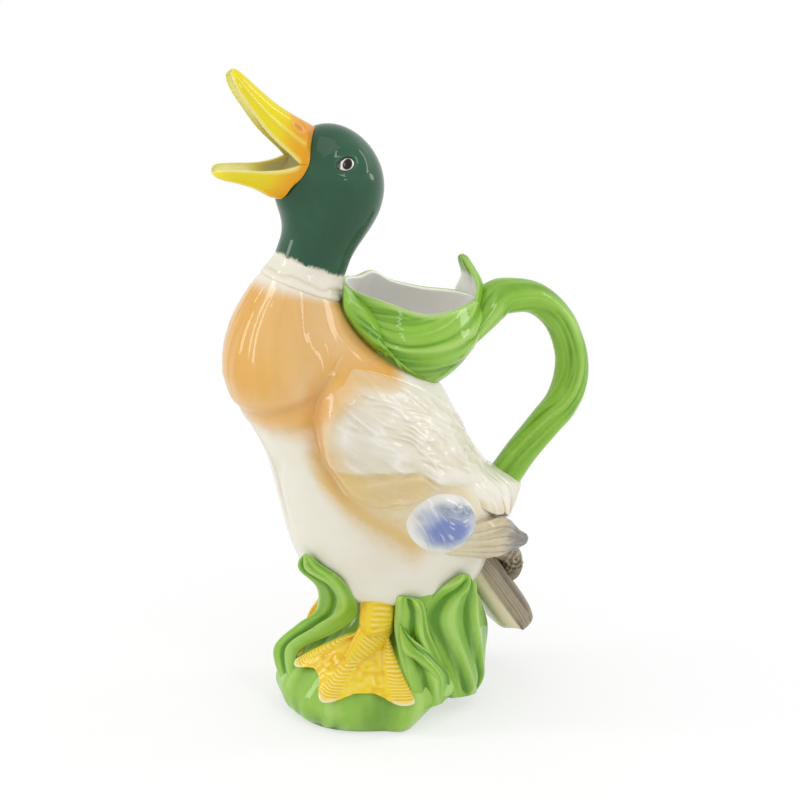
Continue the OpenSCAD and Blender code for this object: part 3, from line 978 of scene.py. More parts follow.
@dataclass(frozen=True)
class WingShape:
    """Outline and swell of a folded wing on the body form."""

    body: BodyForm = BODY_FORM
    front_rise: float = 5.2
    back_rise: float = 1.4
    ledge: float = 1.2
    edge_points: int = 180

    # Body row, degrees from the breast, and how softly the edge runs out
    edge: Rows = (
        (9.9, 99, 16), (9.28, 81, 10), (8.68, 68, 7), (7.83, 57, 6.5), (6.85, 50, 6), (6.2, 50, 6),
        (5.55, 55, 6.5), (5.27, 67, 7), (5.2, 80, 7), (5.5, 104, 8), (5.4, 122, 10), (5.2, 140, 16),
        (5.35, 158, 24), (6.3, 173, 24), (7.4, 168, 24), (8.2, 146, 26), (9.2, 124, 24))

    # Degrees from the breast and height of the step between the shoulder feathers and the coverts
    ledge_rows: Rows = ((45, 139), (58, 137), (78, 137), (96, 134.5), (104, 126), (122, 117), (175, 112))

    def outline(self) -> Array:
        """Edge of the wing, laid out flat, with its softness."""
        rows = spline(self.edge, np.linspace(0, len(self.edge), self.edge_points, endpoint=False), True)
        return np.concatenate([self.body.flat(rows[:, 0], rows[:, 1]), rows[:, 2:]], 1)

    def ledge_z(self, phi: Array) -> Array:
        """Height of the step at degrees from the breast."""
        return broken_line(phi, self.ledge_rows)

    def swell(self, s: Array, phi: Array) -> tuple[Array, Array, Array]:
        """Find the smooth height of the wing.

        Args:
            s: Body rows.
            phi: Degrees from the breast, on either side.

        Returns:
            The height, the depth inside the wing's edge, and the edge's softness there.
        """
        flat = self.body.flat(s, phi)
        x, z = np.moveaxis(flat, -1, 0)
        outline = self.outline()
        depth, near = depth_inside(flat, outline[:, :2])
        soft = np.maximum(5.0, np.interp(near * len(outline), np.arange(len(outline)), outline[:, 2]))
        line = self.ledge_z(phi) + 1.6 * flat_noise(x, 0, 9.0, 4)
        above = ease((z - line + 1.2) / 3.0) * fall(phi, 112, 22)
        rise = mix(self.front_rise, self.back_rise, ramp(phi, 84, 56))
        rise = rise + 1.2 * hump(z, 166, 26) * hump(phi, 76, 24)
        return ease(depth / soft) * (rise + self.ledge * above), depth, soft


@dataclass
class BodyCasting(Assembly):
    """Body shell with its breast, belly and filler hole, and the ribbed collar above it."""

    form: BodyForm = BODY_FORM
    head: HeadForm = HEAD_FORM
    cup: CupForm = CUP_FORM
    wing: WingShape = WingShape()
    rows: int = 250
    sides: int = 340
    hole_inset: float = 1.7
    inner_rows: int = 90
    inner_sides: int = 120
    inner_start: float = 0.9
    inner_inset: float = 1.0
    crease_z: float = 160.0
    collar_rows: int = 40
    collar_sides: int = 200

    # Degrees from the breast and height of the tan band under the wing, which is painted shade
    band: Rows = ((36, 133), (42, 127), (52, 114), (61, 107), (72, 99.5), (79, 94), (90, 90))

    def hole(self, s: Array, phi: Array, inset: float) -> Array:
        """Which places lie in the filler hole, whose edge is inside the cup's foot by inset."""
        rows, degrees = self.cup.foot_half(inset)
        return ((s - self.cup.foot_row) / rows) ** 2 + ((phi - 180) / degrees) ** 2 < 1

    def relief(self, s: Array, phi: Array) -> Array:
        """Model the plumage on the breast and belly.

        Args:
            s: Body rows.
            phi: Degrees round from the breast.

        Returns:
            Height above the smooth form.
        """
        x, z = np.moveaxis(self.form.flat(s, phi), -1, 0)
        side = np.minimum(phi, 360 - phi)
        over = z - self.crease_z - 0.003 * side ** 2 - 2.0 * flat_noise(x, z, (26.0, 400.0, 1.0), 3)
        front = fall(side, 58, 16)
        crease = 1.3 * ramp(over, -1.6, 3.2) * fall(over, 0, 26) - 0.5 * hump(over, -1, 2.2)
        patch = ease(flat_noise(x, z, (22, 30, 1), 8) * 2 + 0.3)
        second = 0.5 * (hump(over, -8, 2.2) - hump(over, -11, 1.8)) + 0.4 * patch * hump(over, 12, 2.4)
        folds = strokes(x, z, 84, 46, 12, 2) * ease(-over / 14) * ramp(z, 84, 20) * ease((74 - side) / 30)
        brushed = strokes(x, z, 80, 26, 5.0, 7) * ease(over / 10)
        puff = flat_noise(x, z, 34.0, 6)
        foot = hump(s, 1.5, 1.1)
        return front * (crease + second) + 0.6 * folds + 0.22 * brushed + 0.45 * puff + 2.2 * foot

    def paint(self, s: Array, phi: Array, height: Array, depth: Array) -> Masks:
        """Paint the plumage.

        Args:
            s: Body rows.
            phi: Degrees round from the breast.
            height: Modelled height.
            depth: Depth inside the wing's edge.

        Returns:
            Masks by name.
        """
        x, z = np.moveaxis(self.form.flat(s, phi), -1, 0)
        side = np.minimum(phi, 360 - phi)
        cloud = flat_noise(x, z, 24.0, 11)
        below_collar = 1 - ease((s - 11.2 - 0.004 * side) / 0.6)
        breast = ease((z - self.crease_z + 13 - 5 * cloud) / 15) * below_collar
        breast = breast * (1 - ease((side - 68 - 2.3 * np.maximum(0, z - 158)) / 26))
        # streak, under and beside paint tan and deep orange as painted shade along the wing's lower edge, on
        # the flank below it and along its front edge
        below = z - broken_line(side, self.band)
        streak = hump(below, 1.5, 8.5) * ramp(side, 34, 8) * fall(side, 80, 10)
        under = ramp(below, -3, 8) * fall(z, 141, 10)
        under = under * ramp(side, 36, 8) * fall(side, 112, 20)
        beside = ramp(depth, -9, 8) * ramp(z, 112, 20) * fall(side, 66, 14)
        lines = hump(z, self.crease_z + 0.003 * side ** 2 - 1, 2.4) * fall(side, 56, 12)
        return {"rust": np.maximum(breast * (0.95 + 0.2 * cloud), 0.16 * streak),
                "deep": 0.5 * beside + 0.3 * lines + 0.45 * breast * ease(cloud) + 0.08 * streak,
                "tan": np.clip(0.55 * under + 0.55 * streak + 0.4 * beside, 0, 1) * (1 - breast),
                "hollow": ease(-height / 1.1) * 0.7, "ridge": ramp(height, 0.7, 1.4) * 0.35}

    def shell(self) -> Skin:
        """Cast the body, open at the filler hole and the neck.

        Returns:
            Its outer and inner skin.
        """
        top = self.form.top
        s, phi = sheet(np.linspace(0, top, self.rows), full_turn(self.sides))
        side = np.minimum(phi, 360 - phi)
        swell, depth, _ = self.wing.swell(s, side)
        z = self.form.flat(s, phi)[..., 1]
        height = self.relief(s, phi) * ease(s / 1.2) * ease((top - s) / 0.8) * fall(depth, -5, 7)
        groove = hump(depth, -1.5, 2.6) * fall(side, 92, 16) * ramp(z, 112, 16)
        swell = swell - groove - 1.6 * ramp(depth, 3, 5)
        outer = Skin.from_grid(self.form.point(s, phi, height + swell), self.paint(s, phi, height, depth),
                               loop=True, caps=(True, False), keep=~self.hole(s, phi, self.hole_inset))
        s, phi = sheet(np.linspace(self.inner_start, top, self.inner_rows), full_turn(self.inner_sides))
        inner = Skin.from_grid(self.form.point(s, phi, -self.form.wall), {"inside": np.ones_like(s)},
                               loop=True, caps=(True, False), keep=~self.hole(s, phi, self.inner_inset),
                               inward=True)
        return outer.with_skin(inner)

    def collar(self) -> Skin:
        """Model the collar of the neck, with the uneven rib at its foot.

        Returns:
            Its skin.
        """
        form, head = self.form, self.head
        t, phi = sheet(np.linspace(0, 1, self.collar_rows), full_turn(self.collar_sides))
        c, sn = turn(phi)
        wobble = flat_noise(c * 3.0, sn * 3.0, 1.0, 4)
        fine = noise(np.stack([c * 8, sn * 8, t * 6], -1), 1.0, 9)
        rib = 0.4 * hump(t, 0.12 + 0.05 * wobble, 0.12) - 0.35 * hump(t, 0.36 + 0.08 * wobble, 0.09)
        radius = mix(form.collar_d / 2, head.neck_d / 2, ease(t * 1.05))
        radius = radius + rib * (0.8 + 0.4 * wobble) + 0.12 * fine
        place = form.collar_seat + (t * head.collar_h)[..., None] * form.neck_dir
        place = place + (radius * c)[..., None] * form.neck_out + np.stack([0 * c, radius * sn, 0 * c], -1)
        masks = {"rust": 0.5 * ease((0.1 - t) / 0.1), "hollow": ease(-rib / 0.5),
                 "ridge": ease(rib / 0.8) * 0.6}
        return Skin.from_grid(place, masks, loop=True)

    def build(self) -> None:
        """Make the body shell and the collar."""
        self.add("body_casting", self.shell(), "body_shell", Slot.CREAM, PLUMAGE)
        self.add("neck_band", self.collar(), "neck_collar", Slot.CREAM, PLUMAGE)


@dataclass
class HeadCasting(Assembly):
    """Glossy green head, open at the face that the bills fill, with its lids and the painted eyes."""

    face: Array
    form: HeadForm = HEAD_FORM
    rows: int = 170
    sides: int = 260
    eye_rings: int = 40
    eye_sides: int = 96
    eye_s: float = 50.6
    eye_phi: float = 79.0
    eye_len: float = 8.2
    eye_high: float = 5.7
    eye_tilt: float = 0.38
    eye_brim: float = 1.08

    def eye_place(self, s: Array, phi: Array) -> tuple[Array, Array]:
        """Measure places on the cheek from an eye's middle.

        Args:
            s: Heights up the neck.
            phi: Degrees round from the face.

        Returns:
            Eye half lengths back, and half heights up.
        """
        back = (np.minimum(phi, 360 - phi) - self.eye_phi) * math.radians(self.form.width / 2)
        up = s - self.eye_s - self.eye_tilt * back
        return back / (self.eye_len / 2), up / (self.eye_high / 2)

    def skin(self) -> Skin:
        """Cast the head, with rows that close up towards the crown.

        Returns:
            Its outer skin.
        """
        form = self.form
        to_crown = 0.9995 * (1 - (1 - np.linspace(0, 1, self.rows)) ** 1.5)
        s, phi = sheet(form.height * to_crown, full_turn(self.sides))
        back, up = self.eye_place(s, phi)
        ring = np.hypot(back, up)
        lid = 0.55 * hump(ring, 1.22, 0.2) - 0.5 * hump(ring, 1.0, 0.14) + 0.7 * hump(ring, 2.7, 0.9)
        bag = 0.3 * hump(up, -1.75 + 0.25 * back ** 2, 0.3) * ease((1.3 - np.abs(back)) / 0.5)
        soft = noise(form.point(s, phi), 22.0, 2)
        height = (lid + bag) * ramp(s, 30, 8) + 0.25 * soft
        turned, risen = phi * 0.3, s * 0.15
        hair = (0.7 * flat_noise(turned, risen, 2.6, 7) + 0.6 * flat_noise(turned, risen, 0.8, 8)
                + 0.5 * flat_noise(turned, risen, 0.35, 9))
        masks = {"pale": ease((1.5 + hair - s) / 1.7),
                 "hollow": ease(-(lid + bag) / 0.4) * ease((2 - ring) / 0.5), "ridge": 0.4 * ease(soft)}
        face, _ = depth_inside(form.flat(s, (phi + 180) % 360 - 180), self.face)
        place = form.point(s, phi, height)
        return Skin.from_grid(place, masks, loop=True, caps=(False, True), keep=face < 1.2)

    def eye(self) -> Skin:
        """Raise the almond eye on the left cheek, with its painted rings.

        Returns:
            Its skin.
        """
        brim = self.eye_brim
        r, a = sheet(np.linspace(0.02, brim, self.eye_rings), full_turn(self.eye_sides))
        c, sn = turn(a)
        front = np.maximum(0, -c)
        back = r * self.eye_len / 2 * c * (1 + 0.14 * front ** 3)
        up = r * self.eye_high / 2 * sn * (1 - 0.35 * front ** 2) - 0.5 * front ** 2 * r
        s = self.eye_s + up + self.eye_tilt * back
        phi = self.eye_phi + back / math.radians(self.form.width / 2)
        off = 1.25 * (1 - (r / brim) ** 2.6) - 0.35 * ramp(r, 0.9, 0.18)
        iris = np.hypot(back - 0.5, up - 0.1)
        corner = ease((-back - 2.3) / 0.7)
        masks = {"iris": ease((2.5 - iris) / 0.3), "pupil": ease((2.1 - iris) / 0.35),
                 "line": np.maximum(ramp(r, 0.84, 0.12) * (0.3 + 0.7 * ease(sn * 2)), 0.9 * corner)}
        return Skin.from_grid(self.form.point(s, phi, off), masks, loop=True, caps=(True, False))

    def build(self) -> None:
        """Make the head and the two eyes."""
        self.add("head_casting", self.skin(), "head_shell", Slot.HEAD, HEAD_GREEN)
        self.add_pair("painted_eye", self.eye(), "eye", Slot.EYE, EYE)


@dataclass(frozen=True)
class BillHalf:
    """One half of the bill: its root on the head and its crescent sections."""

    # Head heights and degrees of the joint with the head, from the middle to the mouth corner
    joint: Rows
    # Share along, lip x, lip z, half width, and ridge x, z
    rows: Rows
    wall: float = 0.2


@dataclass
class Bills(Assembly):
    """Open bill: the raised upper half with its nostrils and the scooped lower half."""

    head: HeadForm = HEAD_FORM
    throat: tuple[float, float, float] = (-34.0, 0.0, 268.0)
    rows: int = 120
    columns: int = 90
    throat_rows: int = 12
    face_points: int = 160
    upper: BillHalf = BillHalf(
        ((60.6, 0), (60.0, 8), (57.8, 18), (54.6, 26), (51.0, 31.5), (47.6, 35.5), (44.5, 37)),
        ((0.12, -50.1, 273.6, 12.6, -45.0, 291.6), (0.24, -53.5, 277.3, 11.3, -51.0, 295.6),
         (0.45, -63.3, 287.4, 10.3, -59.0, 301.8), (0.65, -70.9, 298.0, 9.7, -66.3, 308.6),
         (0.82, -76.6, 307.0, 8.8, -71.8, 313.8), (0.94, -79.0, 313.2, 6.4, -75.4, 316.8),
         (1.0, -78.9, 316.0, 2.4, -77.6, 317.4)))
    lower: BillHalf = BillHalf(
        ((25.2, 0), (26.2, 9), (28.6, 17), (32.0, 25), (36.0, 31), (40.4, 35), (44.5, 37)),
        ((0.12, -50.1, 273.2, 12.6, -57.6, 256.2), (0.28, -57.5, 271.6, 11.6, -62.5, 257.8),
         (0.48, -66.0, 271.4, 10.4, -69.0, 261.6), (0.68, -74.5, 272.2, 9.6, -76.5, 264.6),
         (0.86, -82.0, 272.8, 8.4, -83.2, 266.8), (0.95, -85.8, 272.6, 6.2, -86.4, 268.2),
         (1.0, -88.0, 271.6, 2.4, -88.1, 270.0)))

    def face(self) -> Array:
        """Join both joints into the outline of the open face.

        Returns:
            The closed outline on the head, laid out flat.
        """
        left = np.array(self.upper.joint + self.lower.joint[-2::-1])
        right = left[::-1] * np.array([1.0, -1.0])
        loop = np.vstack([left, right[1:-1]])
        fine = spline(loop, np.linspace(0, len(loop), self.face_points, endpoint=False), True)
        return self.head.flat(fine[:, 0], fine[:, 1])

    def outer(self, half: BillHalf, t: Array, alpha: Array) -> Array:
        """Blend the outside of a half from its joint with the head into its sections.

        Args:
            half: The half of the bill.
            t: Share along, 0 at the joint.
            alpha: Degrees over the section, 0 at the left lip, 90 at the ridge and 180 at the right lip.

        Returns:
            The points.
        """
        rows = np.array(half.rows)
        c, sn = turn(alpha)
        lip = np.abs(alpha - 90) / 90
        joint = spline(half.joint, lip * (len(half.joint) - 1))
        side = np.where(alpha < 90, 1.0, -1.0)
        root = self.head.point(joint[..., 0], joint[..., 1] * side, 0.3)
        q = spline(rows, np.interp(t, rows[:, 0], np.arange(len(rows))))
        flank = np.sign(c) * np.abs(c) ** 0.72
        section = np.stack([mix(q[..., 1], q[..., 4], sn), -q[..., 3] * flank,
                            mix(q[..., 2], q[..., 5], sn)], -1)
        return mix(root, section, ease(0.5 + 0.5 * t / rows[0, 0])[..., None] * 2 - 1)

    def shell(self, half: BillHalf, dress: Dresser) -> Skin:
        """Make the shell of a half: outside, lips, scooped inside and the throat behind it.

        Args:
            half: The half of the bill.
            dress: Gives relief and masks at shares along, degrees over and points.

        Returns:
            The skin.
        """
        t, a = sheet(np.linspace(0, 1, self.rows), np.linspace(0, 180, self.columns))
        out = self.outer(half, np.maximum(t, 1e-4), a)
        height, masks = dress(t, a, out)
        out = out + grid_normals(out, False) * (height * ease(t / 0.06))[..., None]
        lips = (out[:, :1] + out[:, -1:]) / 2
        inner = lips + (out - lips) * (1 - half.wall)
        _, sn = turn(a)
        scoop = ramp(sn, -0.02, 0.14)
        edge = ease((0.16 - sn) / 0.12)
        both = {k: np.concatenate([v, 0 * v], 1) for k, v in masks.items()}
        # The inside coat is grey painted shade deep in the mouth; the pale coat is painted light on the inner
        # face towards the tip
        both["inside"] = np.concatenate([0 * t, scoop * fall(t, 0.22, 0.3)], 1)
        both["pale"] = np.concatenate([0 * t, scoop * ramp(t, 0.3, 0.3)], 1)
        both["lip"] = np.concatenate([edge * ramp(t, 0.1, 0.1), edge], 1)
        skin = Skin.from_grid(np.concatenate([out, inner[:, ::-1]], 1), both, loop=True, caps=(False, True))
        # The throat behind the bill is all grey painted shade
        deep = np.linspace(0, 1, self.throat_rows)[:, None, None]
        gullet = mix(inner[:1], np.array(self.throat), deep)
        return skin.with_skin(Skin.from_grid(gullet, {"inside": np.ones(gullet.shape[:2])}, inward=True))

    @staticmethod
    def dress_upper(t: Array, a: Array, place: Array) -> tuple[Array, Masks]:
        """Model and paint the upper half.

        Args:
            t: Share along, 0 at the joint.
            a: Degrees over the section.
            place: Points of the smooth outside.

        Returns:
            Height of the relief, and masks by name.
        """
        _, sn = turn(a)
        line_at = mix(0.5, 0.42, ramp(t, 0.1, 0.8))
        line = hump(sn, line_at, 0.05) * ramp(t, 0.03, 0.08) * ease((0.97 - t) / 0.05)
        nostril = np.hypot((t - 0.21) / 0.042, (np.abs(a - 90) - 40) / 7)
        hole = -0.8 * ease((1 - nostril) / 0.6) + 0.45 * hump(nostril, 1.2, 0.25)
        height = 0.5 * line + hole + 0.3 * noise(place, 18.0, 3)
        cloud = noise(place, 10.0, 5)
        base = ease((0.1 + 0.03 * cloud - t) / 0.06) * hump(np.abs(a - 90), 34, 16)
        # back paints deeper orange on the top of the bill near its root as painted shade
        back = 0.7 * ease((0.34 + 0.05 * cloud - t) / 0.2) * ramp(sn, 0.55, 0.25)
        masks = {"orange": ease((0.46 + 0.06 * cloud - t) / 0.34), "ridge": line * 0.7,
                 "deep": back + 0.3 * ease((0.16 - t) / 0.16),
                 "pink": 0.8 * hump(nostril, 1.1, 0.3) + 0.3 * base}
        return height, masks

    @staticmethod
    def dress_lower(t: Array, a: Array, place: Array) -> tuple[Array, Masks]:
        """Model and paint the lower half.

        Args:
            t: Share along, 0 at the joint.
            a: Degrees over the section.
            place: Points of the smooth outside.

        Returns:
            Height of the relief, and masks by name.
        """
        cloud = noise(place, 10.0, 6)
        height = 0.3 * noise(place, 16.0, 4)
        masks = {"orange": ease((0.62 + 0.06 * cloud - t) / 0.48),
                 "deep": 0.3 * ease((0.16 + 0.04 * cloud - t) / 0.14),
                 "ridge": 0.25 * hump(a, 90, 30.0) * ramp(t, 0.5, 0.3)}
        return height, masks

    def build(self) -> None:
        """Make the two halves."""
        self.add("bill_upper", self.shell(self.upper, self.dress_upper), "upper_bill", Slot.BILL, BILL)
        self.add("bill_lower", self.shell(self.lower, self.dress_lower), "lower_bill", Slot.BILL, BILL)


@dataclass
class Wings(Assembly):
    """Folded wings: shoulder feathers and coverts, the violet patch and the long primaries."""

    body: BodyForm = BODY_FORM
    shape: WingShape = WingShape()

    # First and last body row, first and last degree from the breast, each with how many
    wing_rows: tuple[float, float, int] = (4.9, 10.3, 280)
    wing_turns: tuple[float, float, int] = (42, 176, 300)

    # Middle, half size and edge of the patch, in body rows and degrees from the breast
    patch_middle: tuple[float, float] = (4.82, 100.0)
    patch_half: tuple[float, float] = (0.73, 20.0)
    patch_edge: Rows = (
        (4.6, 80), (4.22, 88), (4.05, 101), (4.28, 114), (4.75, 119.5), (5.28, 115), (5.52, 102), (5.45, 90),
        (5.03, 80))
    patch_brim: float = 1.06
    patch_rings: int = 80
    patch_sides: int = 200

    # Path of the primaries from the tail's root: x, y, z, half width and half depth
    primary_path: Rows = (
        (-46, -44.5, 31, 4, 1), (-33, -44.5, 31.5, 7, 3), (-21, -43, 31, 9.6, 4.8),
        (-9.5, -34.5, 27.6, 10.2, 4.8), (-1, -26.5, 22.9, 7.4, 4.2), (5.8, -20.5, 19.1, 4.9, 3.4),
        (11.4, -15.8, 16.8, 3.3, 2.6), (14.6, -13, 15.6, 1.6, 1.2))
    primary_rings: int = 130

    def wing(self) -> Skin:
        """Model the left wing, running out into the body at its soft edges.

        Returns:
            Its skin.
        """
        s, phi = sheet(np.linspace(*self.wing_rows), np.linspace(*self.wing_turns))
        x, z = np.moveaxis(self.body.flat(s, phi), -1, 0)
        swell, depth, soft = self.shape.swell(s, phi)
        line = self.shape.ledge_z(phi)
        above = ease((z - line + 1.5) / 4.0)
        long, short = strokes(x, z, -60, 15, 4.4, 3), strokes(x, z, -34, 10, 3.0, 6)
        plume = 0.5 - 1.1 * np.abs(long) - 0.8 * np.abs(short)
        plume = plume * above * ramp(depth, 4, 10) * ramp(phi, 58, 14) * ease((187 - z) / 10)
        covert = (line - z) / 13.0 + 0.3 * flat_noise(x, z, (30, 14, 1), 2)
        quills = 0.45 - np.abs(np.sin(math.pi * (covert * 1.7 + 0.012 * (phi - 60)))) - 0.5 * np.abs(short)
        quills = quills * (1 - above) * ramp(phi, 58, 16) * ramp(depth, 1, 5)
        quills = quills * fall(phi, 112, 16)
        hold = ease(depth / np.clip(0.5 * soft, 2.5, 14))
        height = swell + 0.3 - 1.0 * (1 - hold) + 0.95 * plume + 1.1 * quills
        height = height + 0.3 * hold * flat_noise(x, z, 15.0, 7)
        cloud = flat_noise(x, z, 20.0, 13)
        front = ease((14 + 5 * cloud - depth) / 12) * fall(phi, 88, 16) * ramp(z, 120, 14)
        crown = ease((z - 173 - 4 * cloud) / 8) * fall(phi, 134, 24)
        low = (1 - above) * ramp(phi, 46, 12) * fall(phi, 110, 16)
        # rim paints deep orange as painted shade in the groove along the wing's front edge
        rim = ease((6 - depth) / 6) * fall(phi, 72, 14) * ramp(z, 118, 20)
        masks = {"rust": np.maximum(0.65 * front * ramp(z, 128, 24), 0.6 * crown), "deep": 0.55 * rim,
                 "tan": low * (0.62 + 0.3 * cloud) + 0.5 * front + 0.25 * crown,
                 "hollow": 0.4 * ease(-plume / 0.6) + 0.6 * ease(-quills / 0.5),
                 "ridge": 0.8 * ease(plume / 0.35) + 0.3 * ease(quills / 0.4)}
        return Skin.from_grid(self.body.point(s, phi, height), masks, keep=depth > -1.5)

    def speculum(self) -> Skin:
        """Model the rounded violet patch below the left wing.

        Returns:
            Its skin.
        """
        brim, count = self.patch_brim, len(self.patch_edge)
        r, k = sheet(np.linspace(0.01, brim, self.patch_rings),
                     np.linspace(0, count, self.patch_sides, endpoint=False))
        at = mix(np.array(self.patch_middle), spline(self.patch_edge, k, True), r[..., None])
        s, phi = at[..., 0], at[..., 1]
        x, z = np.moveaxis(self.body.flat(s, phi), -1, 0)
        hair = strokes(x, z, mix(-62, -24, ramp(phi, 84, 30)), 17, 1.0, 5)
        rib = strokes(x, z, -34, 20, 4.0, 9)
        v, u = np.moveaxis((at - self.patch_middle) / self.patch_half, -1, 0)
        calm = ease((0.9 - r) / 0.2)
        rise = mix(3.6, 7.6, ramp(u, -0.9, 1.5))
        height = -0.9 + (rise + 0.9) * (1 - (r / brim) ** 2.4) + calm * (0.22 * hair + 0.4 * rib)
        fray = r + 0.1 * flat_noise(x, z, 5.0, 12) + 0.06 * hair
        spot = np.hypot((u + 0.15) / 0.52, (v + 0.15) / 0.47) - 0.2 * rib
        slate = hump(v, 0.5 - 0.3 * u, 0.2) * ramp(u, -0.3, 0.3) * ease((0.9 - r) / 0.15)
        lower = hump(v, -0.62 - 0.2 * u, 0.16) * ease((-u + 0.2) / 0.4)
        masks = {"haze": ease((0.95 - fray) / 0.4) * 0.9, "blue": ease((1.25 - spot - 0.15 * hair) / 0.9),
                 "slate": slate * (0.75 + 0.5 * hair) + 0.5 * lower * ease(hair),
                 "tan": 0.7 * ease((-u - 0.72 + 0.3 * v) / 0.4), "hollow": 0.5 * ease(-rib / 0.8) * calm,
                 "ridge": ramp(hair, 0.45, 0.4) * 0.5 * calm + 0.9 * ramp(fray, 0.72, 0.26)}
        return Skin.from_grid(self.body.point(s, phi, height), masks, loop=True, caps=(True, False))

    def primaries(self) -> Skin:
        """Draw the long grooved flight feathers of the left wing out to a dark tip.

        Returns:
            Their skin.
        """
        path = self.body.from_tail(self.primary_path)
        sweep = Sweep(path, (0, 0, 1), self.primary_rings, self.primary_rings)
        t, theta = sweep.grid
        c = np.cos(theta)
        lay = 2.4 * (c + 1) + 0.4 * flat_noise(t * 3, c, 1.0, 3) + 0.8 * t
        saw = lay - np.floor(lay)
        groove = 0.4 * saw - hump(saw, 0.0, 0.1) - hump(saw, 1.0, 0.1)
        barbs = strokes(t * 70, c * 9, 5, 30, 1.3, 4)
        height = (0.07 * groove + 0.03 * barbs) * ease(t / 0.15)
        tip = ease((t - 0.37 + 0.06 * barbs) / 0.18)
        end = ease((t - 0.43 + 0.05 * barbs) / 0.18)
        masks = {"grey": np.clip(0.1 + 0.25 * ease(-barbs) + 0.8 * tip, 0, 1),
                 "dark": np.clip(0.4 * tip * ease(-barbs * 1.5) + 0.95 * end, 0, 1),
                 "hollow": ease(-groove / 0.6) * 0.6 + 0.2 * ease(-barbs / 0.7),
                 "ridge": ease((groove + barbs) / 0.9) * (0.6 - 0.45 * tip),
                 "cream": 0.8 * ease((0.42 - t) / 0.3)}
        return Skin.from_grid(sweep.rings(1 + height), masks, loop=True, caps=(True, True))

    def build(self) -> None:
        """Make both wings with their patches and primaries."""
        self.add_pair("wing_feathers", self.wing(), "wing", Slot.CREAM, PLUMAGE)
        self.add_pair("wing_patch", self.speculum(), "speculum", Slot.VIOLET, VIOLET)
        self.add_pair("wing_primaries", self.primaries(), "primaries", Slot.TAUPE, TAUPE)


